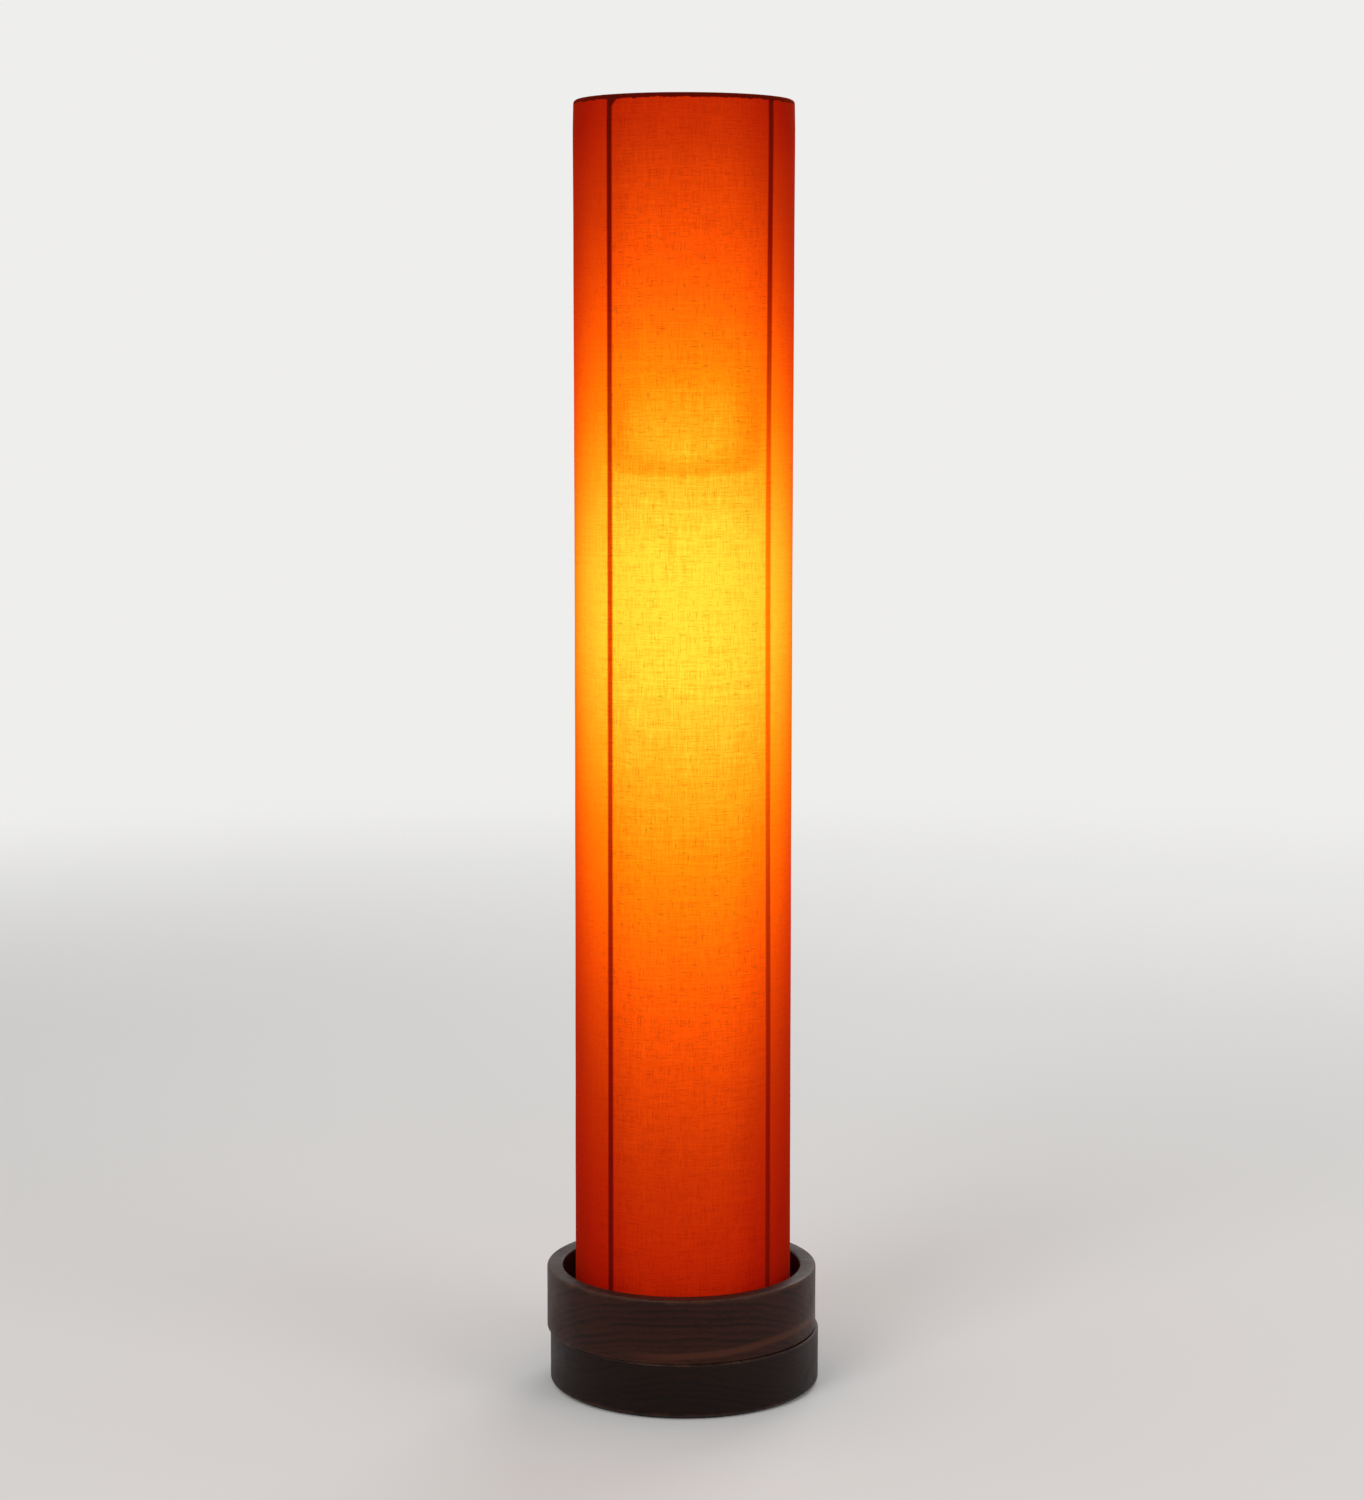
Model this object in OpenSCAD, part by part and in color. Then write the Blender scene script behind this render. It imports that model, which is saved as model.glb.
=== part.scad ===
// Column floor lamp: a tube of orange cotton stretched over a wire frame that stands in a
// turned wooden cup. A bulb hangs inside the tube from a wire carrier.
// Millimetres, +Z up, origin on the floor at the middle of the tube. The front is -Y.

/* [Whole lamp] */
// Height of the whole lamp above the floor
lamp_height = 915; // [860:5:1100]
// Height of the bulb's light centre above the floor
light_height = 555; // [480:5:620]

/* [Wooden base] */
// Outer radius of the upper wooden ring
rim_radius = 97.4; // [96:0.1:102]
// Wall thickness of the upper wooden ring
rim_wall = 11.6; // [9:0.1:13]
// Height of the base's upper edge above the floor
rim_height = 85.9; // [75:0.1:110]
// Outer radius of the lower wooden block
plinth_radius = 97.2; // [96:0.1:102]
// Height of the seam between ring and block above the floor
seam_height = 40; // [36:1:50]
// How far the ring was glued off centre, to the left
rim_shift = 1.0; // [0:0.1:1.5]
// How far the block sits off centre, to the right
plinth_shift = 1.2; // [0:0.1:1.5]
// Rounding of the long wooden edges
edge_round = 1.6; // [0.6:0.1:2.5]
// Thickness of the felt under the block
felt_thickness = 2; // [1:0.5:3]

/* [Shade] */
// Outer radius of the cotton tube
shade_radius = 77; // [74:0.5:79]
// Thickness of the cotton with its backing
cloth_thickness = 0.9; // [0.6:0.1:1.2]

/* [Wire frame] */
// Wire diameter of the top and bottom hoops
hoop_wire = 3.2; // [2.6:0.1:4]
// Wire diameter of the four uprights
upright_wire = 2.8; // [2:0.1:3.2]
// Wire diameter of the carrier's arms
arm_wire = 3; // [2:0.1:3.2]
// Rise of the carrier's arms from its plate to the uprights
arm_rise = 44; // [35:1:60]

/* [Electrical] */
// Outer diameter of the inner lead
lead_diameter = 5; // [4:0.1:5.2]
// Bore diameter of the cord gland at the back of the base
inlet_diameter = 6.6; // [6:0.1:8]
// Largest diameter of the bulb
bulb_diameter = 60; // [55:1:62]

/* [Hidden] */
$fn = 64;
eps = 0.01;

// Where each upright stands, in degrees round from the front
front_left_turn = -41;
front_right_turn = 50;
rear_right_turn = 139;
rear_left_turn = 229;
upright_turns = [front_left_turn, front_right_turn, rear_right_turn, rear_left_turn];
hoop_clip_turns = [4, 94, 184, 274];

// Frame
hoop_r = hoop_wire / 2;
hem_r = hoop_r + cloth_thickness;
cloth_inner = shade_radius - cloth_thickness;
hoop_centre = cloth_inner - hoop_r;
top_hoop_z = lamp_height - hem_r;
bottom_hoop_z = seam_height + hem_r;
upright_r = upright_wire / 2;
touch_gap = 0.1;
upright_centre = cloth_inner - upright_r - touch_gap;

// Bulb, measured down from the tip of its contact
bulb_r = bulb_diameter / 2;
tip_to_light = 78;
tip_z = light_height + tip_to_light;
eyelet_length = 2;
insulator_length = 4.5;
cap_length = 20;
cap_r = 13.2;
cap_top_z = tip_z - eyelet_length - insulator_length;
cap_foot_z = cap_top_z - cap_length;
dome_above_centre = 13;
dome_z = light_height + dome_above_centre;
dome_edge_r = sqrt(bulb_r * bulb_r - dome_above_centre * dome_above_centre);
neck_r = 13.9;
bulb_wall = 1.4;
led_board_thickness = 1.6;

// Lamp holder round the bulb's cap
fit_gap = 0.05;
shell_inner = cap_r + fit_gap;
shell_outer = shell_inner + 0.5;
skirt_inner = 14.3;
skirt_outer = 19.6;
mouth_z = cap_foot_z - 1;
core_z = tip_z + 3.5;
skirt_top_z = core_z + 4;
core_top_z = core_z + 10;
holder_top_z = skirt_top_z + 23;
cap_wall = 2.2;
bush_r = 5;
bush_flange_r = 7;
bush_length = 12;

// Carrier plate and the two rings that clamp it
plate_z = light_height + 67;
plate_thickness = 2;
plate_inner = skirt_outer + 0.4;
plate_outer = 31;
clamp_outer = 24.5;
clamp_height = 5;
clamp_notches = 12;
arm_r = arm_wire / 2;
arm_sink = 0.3;
arm_bend = arm_r + 0.1;
arm_foot_r = 26.5;
arm_bend_r = 31;
arm_tail_r = upright_centre - upright_r - arm_r + arm_sink;
arm_tail_length = 14;
arm_foot_z = plate_z + plate_thickness + arm_r - arm_sink;
arm_end_z = arm_foot_z + arm_rise;

// Base
rim_inner = rim_radius - rim_wall;
felt_r = plinth_radius - 4;
inlet_z = 20;
gland_seat_r = 6.5;
gland_flange_r = 9;
gland_flange = 2;
gland_face = plinth_radius - 3.2;
gland_length = 16;
passage_r = 5;
centre_bore_r = 8;

// Clips that hold the bottom hoop down
clip_width = 8;
clip_sheet = 1;
clip_gap = 0.2;
clip_screw_r = 63;
clip_foot_length = 14;
screw_r = 1.5;
screw_length = 14;
screw_head_r = 3.4;
screw_head = 2;

// Terminal block, on the lead's side of the base
lead_r = lead_diameter / 2;
lead_turn = rear_right_turn - 3.6;
lead_wall_r = 73;
block_r = 34;
block_length = 24;
block_width = 24;
block_height = 12;
pole_step = 6.5;
pole_z = 5.5;
tube_r = 2.9;
tube_bore = 1.9;
clamp_screw_r = 1.6;
clamp_screw_step = 7;
core_wire_r = 0.9;

// Route of the lead as [distance from the middle, height], chosen by hand.
// The first stretch is measured up from the top of the holder.
lead_sides = 10;
lead_top = [
  [0, -12], [0, 6], [0, 18], [2.5, 30], [10, 40.5], [21, 46.5], [34, 48],
  [47, 45], [58, 37.5], [66.5, 27], [71.5, 14], [lead_wall_r, 0], [lead_wall_r, -26]
];
// The second stretch is measured up from the floor of the cup
lead_foot = [
  [lead_wall_r, 300], [lead_wall_r, 66], [72.2, 54], [69, 42], [64, 31], [58.5, 20.5], [55.5, 14.5]
];
lead_route = concat(
  [for (p = lead_top) [p[0], holder_top_z + p[1]]],
  [for (p = lead_foot) [p[0], seam_height + p[1]]]
);
// The two cores run from the end of the sheath into the block: [out, height, sideways share]
core_route = [
  [55.4, 14.3, 0.18], [54.6, 12.6, 0.2], [52, 9, 0.6], [49, 6.6, 0.92], [45, 5.5, 1], [40, 5.5, 1]
];
core_sides = 8;
lead_clip_heights = [130, 260, 390, 520, 650];
lead_clip_height = 6;
lead_clip_wall = 0.8;

// Turns what is drawn along +X to stand at an angle measured round from the front
module at_turn(angle) {
  rotate([0, 0, angle - 90]) children();
}

// Hollow round piece between two heights
module tube(outer, inner, low, high) {
  translate([0, 0, low])
    difference() {
      cylinder(r = outer, h = high - low);
      translate([0, 0, -eps]) cylinder(r = inner, h = high - low + 2 * eps);
    }
}

// Straight wire between two points of an upright plane, given as [out, height]
module wire(from, to, r) {
  run = to - from;
  translate([from[0], 0, from[1]])
    rotate([0, atan2(run[0], run[1]), 0])
      cylinder(r = r, h = norm(run), $fn = 32);
}

// Outline of a wooden wall with rounded edges: a square less its sharp corners
module rounded_wall(inner, outer, low, high, inner_round) {
  difference() {
    translate([inner, low]) square([outer - inner, high - low]);
    translate([outer, low]) corner_waste(edge_round, -1, 1);
    translate([outer, high]) corner_waste(edge_round, -1, -1);
    if (inner_round > 0) translate([inner, high]) corner_waste(inner_round, 1, -1);
  }
}

// What is taken off a corner to round it. side and lift point from the corner into the wood.
module corner_waste(r, side, lift) {
  difference() {
    translate([side < 0 ? -r : -eps, lift < 0 ? -r : -eps]) square(r + eps);
    translate([side * r, lift * r]) circle(r = r);
  }
}

// Tube swept along a route that lies in one upright plane
function along(route, i) =
  let (
    a = route[max(i - 1, 0)],
    b = route[min(i + 1, len(route) - 1)]
  ) (b - a) / norm(b - a);

module swept_flat(route, r, sides) {
  count = len(route);
  points = [
    for (i = [0 : count - 1])
      let (t = along(route, i))
        for (s = [0 : sides - 1])
          let (a = 360 * s / sides)
            [
              route[i][0] + r * cos(a) * t[1],
              r * sin(a),
              route[i][1] - r * cos(a) * t[0]
            ]
  ];
  polyhedron(points, swept_faces(count, sides));
}

// Tube swept along a route with bends in every direction
function cross_unit(a, b) = cross(a, b) / norm(cross(a, b));

module swept(route, r, sides) {
  count = len(route);
  points = [
    for (i = [0 : count - 1])
      let (
        t = along(route, i),
        side = cross_unit(t, [0, 1, 0]),
        up = cross(side, t)
      )
        for (s = [0 : sides - 1])
          let (a = 360 * s / sides)
            route[i] + r * cos(a) * side - r * sin(a) * up
  ];
  polyhedron(points, swept_faces(count, sides));
}

function swept_faces(count, sides) = concat(
  [[for (s = [sides - 1 : -1 : 0]) s]],
  [
    for (i = [0 : count - 2])
      for (s = [0 : sides - 1])
        let (
          n = (s + 1) % sides,
          a = i * sides
        )
          [a + s, a + n, a + sides + n, a + sides + s]
  ],
  [[for (s = [0 : sides - 1]) (count - 1) * sides + s]]
);

// Lower wooden block: the floor of the cup, bored for the cord
module plinth() {
  color([0.13, 0.07, 0.05])
    difference() {
      translate([plinth_shift, 0, 0])
        rotate_extrude($fn = 128)
          rounded_wall(0, plinth_radius, felt_thickness, seam_height, 0);
      translate([0, 0, inlet_z]) rotate([-90, 0, 0]) cylinder(r = passage_r, h = plinth_radius);
      translate([0, gland_face - gland_length, inlet_z])
        rotate([-90, 0, 0]) cylinder(r = gland_seat_r + fit_gap, h = plinth_radius);
      translate([0, gland_face, inlet_z])
        rotate([-90, 0, 0]) cylinder(r = gland_flange_r + 0.5, h = plinth_radius);
      translate([0, 0, inlet_z]) cylinder(r = centre_bore_r, h = seam_height);
      for (turn = hoop_clip_turns)
        at_turn(turn) translate([clip_screw_r, 0, 0]) screw_hole();
      at_turn(lead_turn) translate([block_r, 0, 0]) screw_hole();
    }
}

module screw_hole() {
  translate([0, 0, seam_height - screw_length])
    cylinder(r = screw_r + fit_gap, h = screw_length + eps, $fn = 32);
}

// Upper wooden ring: the wall of the cup
module rim_ring() {
  color([0.23, 0.11, 0.07])
    translate([-rim_shift, 0, 0])
      rotate_extrude($fn = 128)
        rounded_wall(rim_inner, rim_radius, seam_height, rim_height, edge_round);
}

module felt_pad() {
  color([0.08, 0.08, 0.08])
    translate([plinth_shift, 0, 0]) cylinder(r = felt_r, h = felt_thickness, $fn = 128);
}

// Rubber bush that lines the cord hole at the back
module cord_gland() {
  color([0.1, 0.1, 0.1])
    translate([0, 0, inlet_z])
      rotate([-90, 0, 0])
        difference() {
          union() {
            translate([0, 0, gland_face - gland_length])
              cylinder(r = gland_seat_r, h = gland_length);
            translate([0, 0, gland_face]) cylinder(r = gland_flange_r, h = gland_flange);
          }
          translate([0, 0, gland_face - gland_length - eps])
            cylinder(r = inlet_diameter / 2, h = gland_length + gland_flange + 2 * eps);
        }
}

// Clip profile: a foot on the cup's floor and a lip over the inner side of the hoop
module clip_profile() {
  lip_inner = hem_r + clip_gap;
  lip_outer = lip_inner + clip_sheet;
  past_top = 10;
  translate([hoop_centre - lip_outer - clip_foot_length, 0])
    square([clip_foot_length + clip_sheet, clip_sheet]);
  translate([hoop_centre - lip_outer, 0]) square([clip_sheet, hem_r]);
  translate([hoop_centre, hem_r])
    difference() {
      intersection() {
        circle(r = lip_outer);
        union() {
          translate([-lip_outer, 0]) square([lip_outer, lip_outer]);
          rotate(90 - past_top) square([lip_outer, lip_outer]);
        }
      }
      circle(r = lip_inner);
    }
}

module hoop_clips() {
  color([0.75, 0.75, 0.77])
    for (turn = hoop_clip_turns)
      at_turn(turn)
        difference() {
          translate([0, clip_width / 2, seam_height])
            rotate([90, 0, 0]) linear_extrude(clip_width) clip_profile();
          translate([clip_screw_r, 0, seam_height - eps])
            cylinder(r = screw_r + fit_gap, h = clip_sheet + 2 * eps, $fn = 32);
        }
}

module pan_screw(head_z) {
  translate([0, 0, seam_height - screw_length])
    cylinder(r = screw_r, h = head_z + screw_length + eps, $fn = 32);
  translate([0, 0, seam_height + head_z])
    difference() {
      cylinder(r1 = screw_head_r, r2 = screw_head_r * 0.8, h = screw_head, $fn = 32);
      for (turn = [0, 90])
        rotate([0, 0, turn])
          translate([-screw_head_r * 0.55, -0.4, screw_head * 0.4])
            cube([screw_head_r * 1.1, 0.8, screw_head]);
    }
}

module clip_screws() {
  color([0.7, 0.7, 0.72])
    for (turn = hoop_clip_turns)
      at_turn(turn) translate([clip_screw_r, 0, 0]) pan_screw(clip_sheet);
}

// Places what is drawn on the terminal block's own axes: +X outwards, z = 0 on the cup's floor
module on_block() {
  at_turn(lead_turn) translate([block_r, 0, seam_height]) children();
}

module terminal_block() {
  web = block_width - 2 * tube_r - 2 * pole_step;
  color([0.92, 0.91, 0.86])
    on_block()
      difference() {
        translate([-block_length / 2, -block_width / 2, 0])
          cube([block_length, block_width, block_height]);
        for (side = [-1, 1])
          translate([-block_length, side * pole_step, pole_z])
            rotate([0, 90, 0]) cylinder(r = tube_r, h = 2 * block_length, $fn = 32);
        for (side = [-1, 1])
          for (end = [-1, 1])
            translate([end * clamp_screw_step, side * pole_step, pole_z])
              cylinder(r = clamp_screw_r + 0.5, h = block_height, $fn = 32);
        translate([0, 0, -eps]) cylinder(r = screw_r + fit_gap, h = block_height, $fn = 32);
        translate([-screw_head_r - 0.4, -web / 4, block_height - 3])
          cube([2 * screw_head_r + 0.8, web / 2, block_height]);
        translate([0, 0, block_height - 5])
          cylinder(r = screw_head_r + 0.3, h = block_height, $fn = 32);
      }
}

module terminal_tubes() {
  tube_length = block_length - 3;
  color([0.8, 0.65, 0.3])
    on_block()
      for (side = [-1, 1])
        translate([0, side * pole_step, pole_z])
          difference() {
            translate([-tube_length / 2, 0, 0])
              rotate([0, 90, 0]) cylinder(r = tube_r, h = tube_length, $fn = 32);
            translate([-tube_length, 0, 0])
              rotate([0, 90, 0]) cylinder(r = tube_bore, h = 2 * tube_length, $fn = 32);
            for (end = [-1, 1])
              translate([end * clamp_screw_step, 0, 0])
                cylinder(r = clamp_screw_r + fit_gap, h = 2 * tube_r, $fn = 32);
          }
}

module terminal_screws() {
  screw_foot = 1;
  screw_rise = block_height - pole_z - screw_foot - 1;
  color([0.75, 0.75, 0.75])
    on_block()
      for (side = [-1, 1])
        for (end = [-1, 1])
          translate([end * clamp_screw_step, side * pole_step, pole_z + screw_foot])
            difference() {
              cylinder(r = clamp_screw_r, h = screw_rise, $fn = 32);
              translate([-clamp_screw_r, -0.3, screw_rise - 0.8])
                cube([2 * clamp_screw_r, 0.6, 1]);
            }
}

module block_screw() {
  color([0.7, 0.7, 0.72])
    at_turn(lead_turn) translate([block_r, 0, 0]) pan_screw(block_height - 5);
}

// Torus of wire at the top or bottom of the frame
module hoop(z) {
  translate([0, 0, z])
    rotate_extrude($fn = 128) translate([hoop_centre, 0]) circle(r = hoop_r, $fn = 32);
}

module bottom_hoop() {
  color([0.35, 0.34, 0.33]) hoop(bottom_hoop_z);
}

module top_hoop() {
  color([0.35, 0.34, 0.33]) hoop(top_hoop_z);
}

module upright_bar(turn, r) {
  at_turn(turn)
    translate([upright_centre, 0, bottom_hoop_z])
      cylinder(r = r, h = top_hoop_z - bottom_hoop_z, $fn = 32);
}

// One upright, cut to fit against both hoops
module upright(turn) {
  color([0.35, 0.34, 0.33])
    difference() {
      upright_bar(turn, upright_r);
      hoop(bottom_hoop_z);
      hoop(top_hoop_z);
    }
}

module upright_front_left() {
  upright(front_left_turn);
}

module upright_front_right() {
  upright(front_right_turn);
}

module upright_rear_right() {
  upright(rear_right_turn);
}

module upright_rear_left() {
  upright(rear_left_turn);
}

// Stamped plate with the hole that the lamp holder hangs in
module carrier_plate() {
  color([0.4, 0.39, 0.38]) tube(plate_outer, plate_inner, plate_z, plate_z + plate_thickness);
}

// Four bent wires from the plate up to the uprights, welded at both ends
module carrier_arms() {
  color([0.4, 0.39, 0.38])
    for (turn = upright_turns)
      difference() {
        at_turn(turn) {
          wire([arm_foot_r, arm_foot_z], [arm_bend_r, arm_foot_z], arm_r);
          translate([arm_bend_r, 0, arm_foot_z]) sphere(r = arm_bend, $fn = 32);
          wire([arm_bend_r, arm_foot_z], [arm_tail_r, arm_end_z], arm_r);
          translate([arm_tail_r, 0, arm_end_z]) sphere(r = arm_bend, $fn = 32);
          wire([arm_tail_r, arm_end_z], [arm_tail_r, arm_end_z + arm_tail_length], arm_r);
        }
        upright_bar(turn, upright_r);
        translate([0, 0, plate_z]) cylinder(r = plate_outer + eps, h = plate_thickness);
      }
}

// Cotton sleeve, rolled round both hoops and notched where the uprights meet them
module shade_cloth() {
  color([0.93, 0.42, 0.08])
    difference() {
      rotate_extrude($fn = 128) {
        difference() {
          union() {
            translate([cloth_inner, bottom_hoop_z])
              square([cloth_thickness, top_hoop_z - bottom_hoop_z]);
            for (z = [bottom_hoop_z, top_hoop_z])
              translate([hoop_centre, z]) circle(r = hem_r, $fn = 32);
          }
          for (z = [bottom_hoop_z, top_hoop_z])
            translate([hoop_centre, z]) circle(r = hoop_r, $fn = 32);
        }
      }
      for (turn = upright_turns) upright_bar(turn, upright_r + touch_gap / 2);
    }
}

// Threaded ring on the holder's skirt, notched for the fingers
module clamp_ring(low) {
  notch_r = 1.6;
  difference() {
    tube(clamp_outer, skirt_outer + fit_gap, low, low + clamp_height);
    for (i = [0 : clamp_notches - 1])
      rotate([0, 0, i * 360 / clamp_notches])
        translate([clamp_outer + notch_r / 2, 0, low - eps])
          cylinder(r = notch_r, h = clamp_height + 2 * eps, $fn = 24);
  }
}

module upper_clamp_ring() {
  color([0.9, 0.89, 0.85]) clamp_ring(plate_z + plate_thickness);
}

module lower_clamp_ring() {
  color([0.9, 0.89, 0.85]) clamp_ring(plate_z - clamp_height);
}

module holder_skirt() {
  color([0.9, 0.89, 0.85]) tube(skirt_outer, skirt_inner, mouth_z, skirt_top_z);
}

// Domed cover over the holder's terminals, with the hole for the bush
module holder_cap() {
  color([0.9, 0.89, 0.85])
    translate([0, 0, skirt_top_z])
      rotate_extrude()
        difference() {
          cap_outline(skirt_outer, holder_top_z - skirt_top_z);
          translate([0, -eps])
            cap_outline(skirt_outer - cap_wall, holder_top_z - skirt_top_z - cap_wall + eps);
          square([bush_r, 2 * (holder_top_z - skirt_top_z)]);
        }
}

// Half outline of the cap: straight below, then a quarter round up to a flat top
module cap_outline(r, h) {
  crown = 10;
  square([r, h - crown]);
  square([r - crown, h]);
  translate([r - crown, h - crown]) circle(r = crown);
}

module holder_core() {
  color([0.95, 0.94, 0.9])
    translate([0, 0, core_z]) cylinder(r = skirt_inner - fit_gap, h = core_top_z - core_z);
}

module holder_shell() {
  color([0.8, 0.65, 0.3]) tube(shell_outer, shell_inner, mouth_z + 2, core_z);
}

// Springy tongue that presses on the bulb's contact
module holder_contact() {
  tongue_width = 5;
  color([0.8, 0.65, 0.3])
    translate([-tongue_width / 2, -tongue_width / 2, tip_z + fit_gap])
      cube([tongue_width, tongue_width, core_z - tip_z - fit_gap]);
}

module lead_bush() {
  color([0.9, 0.89, 0.85]) {
    tube(bush_r, lead_r + fit_gap, holder_top_z - cap_wall, holder_top_z + eps);
    tube(bush_flange_r, lead_r + fit_gap, holder_top_z, holder_top_z + 2);
    tube(bush_r, lead_r + fit_gap, holder_top_z + 2 - eps, holder_top_z + bush_length - cap_wall);
  }
}

module inner_lead() {
  color([0.85, 0.83, 0.78]) at_turn(lead_turn) swept_flat(lead_route, lead_r, lead_sides);
}

module lead_cores() {
  color([0.3, 0.2, 0.15])
    at_turn(lead_turn)
      for (side = [-1, 1])
        swept(
          [for (p = core_route) [p[0], side * p[2] * pole_step, seam_height + p[1]]],
          core_wire_r,
          core_sides
        );
}

// Figure-of-eight clips that hold the lead beside its upright, open towards the cloth
module lead_clips() {
  clip_reach = cloth_inner - 2 * touch_gap;
  color([0.9, 0.9, 0.88])
    for (z = lead_clip_heights)
      translate([0, 0, z])
        linear_extrude(lead_clip_height)
          intersection() {
            circle(r = clip_reach, $fn = 128);
            difference() {
              union() {
                eye(rear_right_turn, upright_centre, upright_r + fit_gap + lead_clip_wall);
                eye(lead_turn, lead_wall_r, lead_r + fit_gap + lead_clip_wall);
              }
              eye(rear_right_turn, upright_centre, upright_r + fit_gap);
              eye(lead_turn, lead_wall_r, lead_r + fit_gap);
            }
          }
}

module eye(turn, out, r) {
  rotate(turn - 90) translate([out, 0]) circle(r = r, $fn = 32);
}

module bulb_cap() {
  cap_wall_r = cap_r - 0.6;
  color([0.8, 0.8, 0.82]) tube(cap_r, cap_wall_r, cap_foot_z, cap_top_z);
}

// Glass cone that closes the cap round its contact
module bulb_insulator() {
  tip_r = 5.5;
  color([0.1, 0.08, 0.12])
    translate([0, 0, cap_top_z])
      cylinder(r1 = cap_r - 0.2, r2 = tip_r, h = insulator_length);
}

module bulb_contact() {
  contact_r = 4.6;
  color([0.75, 0.72, 0.65])
    translate([0, 0, tip_z - eyelet_length]) cylinder(r = contact_r, h = eyelet_length);
}

function neck_point(share) =
  [
    neck_r + (dome_edge_r - neck_r) * (1 - cos(180 * share)) / 2,
    cap_foot_z + (dome_z - cap_foot_z) * share
  ];

// White body between the cap and the dome, swelling in a smooth curve
module bulb_housing() {
  steps = 14;
  outer = [for (i = [0 : steps]) neck_point(i / steps)];
  inner = [for (i = [steps : -1 : 0]) neck_point(i / steps) - [bulb_wall, 0]];
  color([0.93, 0.93, 0.92]) rotate_extrude() polygon(concat(outer, inner));
}

// Opal dome that the light comes out of
module bulb_dome() {
  color([1, 0.95, 0.85])
    translate([0, 0, light_height])
      rotate_extrude()
        intersection() {
          difference() {
            circle(r = bulb_r, $fn = 96);
            circle(r = bulb_r - bulb_wall, $fn = 96);
          }
          translate([0, -bulb_r]) square([bulb_r, bulb_r + dome_above_centre]);
        }
}

module led_board() {
  board_r = dome_edge_r - bulb_wall - 0.1;
  color([0.9, 0.92, 0.9])
    translate([0, 0, dome_z]) cylinder(r = board_r, h = led_board_thickness);
}

plinth();
rim_ring();
felt_pad();
cord_gland();
hoop_clips();
clip_screws();
terminal_block();
terminal_tubes();
terminal_screws();
block_screw();
bottom_hoop();
top_hoop();
upright_front_left();
upright_front_right();
upright_rear_right();
upright_rear_left();
carrier_plate();
carrier_arms();
shade_cloth();
upper_clamp_ring();
lower_clamp_ring();
holder_skirt();
holder_cap();
holder_core();
holder_shell();
holder_contact();
lead_bush();
inner_lead();
lead_cores();
lead_clips();
bulb_cap();
bulb_insulator();
bulb_contact();
bulb_housing();
bulb_dome();
led_board();
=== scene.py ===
from math import atan2, cos, exp, pi, radians, sin

import bmesh
import bpy
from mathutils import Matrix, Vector, noise


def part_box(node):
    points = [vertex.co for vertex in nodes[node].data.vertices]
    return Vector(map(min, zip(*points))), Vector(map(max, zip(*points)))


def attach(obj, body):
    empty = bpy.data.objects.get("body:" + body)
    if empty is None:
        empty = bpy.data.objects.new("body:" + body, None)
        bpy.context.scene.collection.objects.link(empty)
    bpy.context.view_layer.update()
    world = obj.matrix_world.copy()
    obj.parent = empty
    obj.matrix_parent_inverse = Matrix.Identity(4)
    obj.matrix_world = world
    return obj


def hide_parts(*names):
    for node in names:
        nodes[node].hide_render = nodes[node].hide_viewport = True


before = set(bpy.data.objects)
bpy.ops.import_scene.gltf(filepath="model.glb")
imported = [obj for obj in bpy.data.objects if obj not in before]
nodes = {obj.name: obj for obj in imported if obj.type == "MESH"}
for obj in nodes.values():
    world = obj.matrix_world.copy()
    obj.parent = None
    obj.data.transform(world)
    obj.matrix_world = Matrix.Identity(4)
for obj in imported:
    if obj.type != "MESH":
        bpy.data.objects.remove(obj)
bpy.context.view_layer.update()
scene = bpy.context.scene
mm = 0.001


def turnOf(place):
    # angle round from the front, anticlockwise seen from above
    return atan2(place.x, -place.y)


def middleOf(name):
    low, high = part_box(name)
    return (low + high) / 2


uprights = ("upright_front_left", "upright_front_right", "upright_rear_right", "upright_rear_left")
uprightTurns = {name: turnOf(middleOf(name)) for name in uprights}

shadeLow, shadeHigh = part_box("shade_cloth")
shadeRadius = shadeHigh.x
hoopWire = (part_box("top_hoop")[1].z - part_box("top_hoop")[0].z) / 2
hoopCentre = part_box("top_hoop")[1].x - hoopWire


# helpers for node trees
def feed(tree, socket, value):
    # another node's output is linked, anything else is a plain value
    if isinstance(value, bpy.types.NodeSocket):
        tree.links.new(value, socket)
    else:
        socket.default_value = value


def addNode(tree, kind, inputs=None, **settings):
    made = tree.nodes.new(kind)
    for name, value in settings.items():
        setattr(made, name, value)
    for name, value in (inputs or {}).items():
        feed(tree, made.inputs[name], value)
    return made


def calc(tree, operation, a, b=0.0):
    return addNode(tree, "ShaderNodeMath", {0: a, 1: b}, operation=operation).outputs[0]


def times(tree, a, b):
    return calc(tree, "MULTIPLY", a, b)


def plus(tree, a, b):
    return calc(tree, "ADD", a, b)


def minus(tree, a, b):
    return calc(tree, "SUBTRACT", a, b)


def lengthOf(tree, a, b):
    return calc(tree, "SQRT", plus(tree, times(tree, a, a), times(tree, b, b)))


def fade(tree, value, start, end, low=0.0, high=1.0):
    # low at start, high at end, with soft ends
    made = addNode(
        tree, "ShaderNodeMapRange",
        {"Value": value, "From Min": start, "From Max": end, "To Min": low, "To Max": high},
        interpolation_type="SMOOTHSTEP",
    )
    return made.outputs["Result"]


def stretch(tree, vector, amounts, shift=(0, 0, 0)):
    made = addNode(tree, "ShaderNodeMapping", {"Vector": vector, "Scale": amounts, "Location": shift})
    return made.outputs["Vector"]


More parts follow.
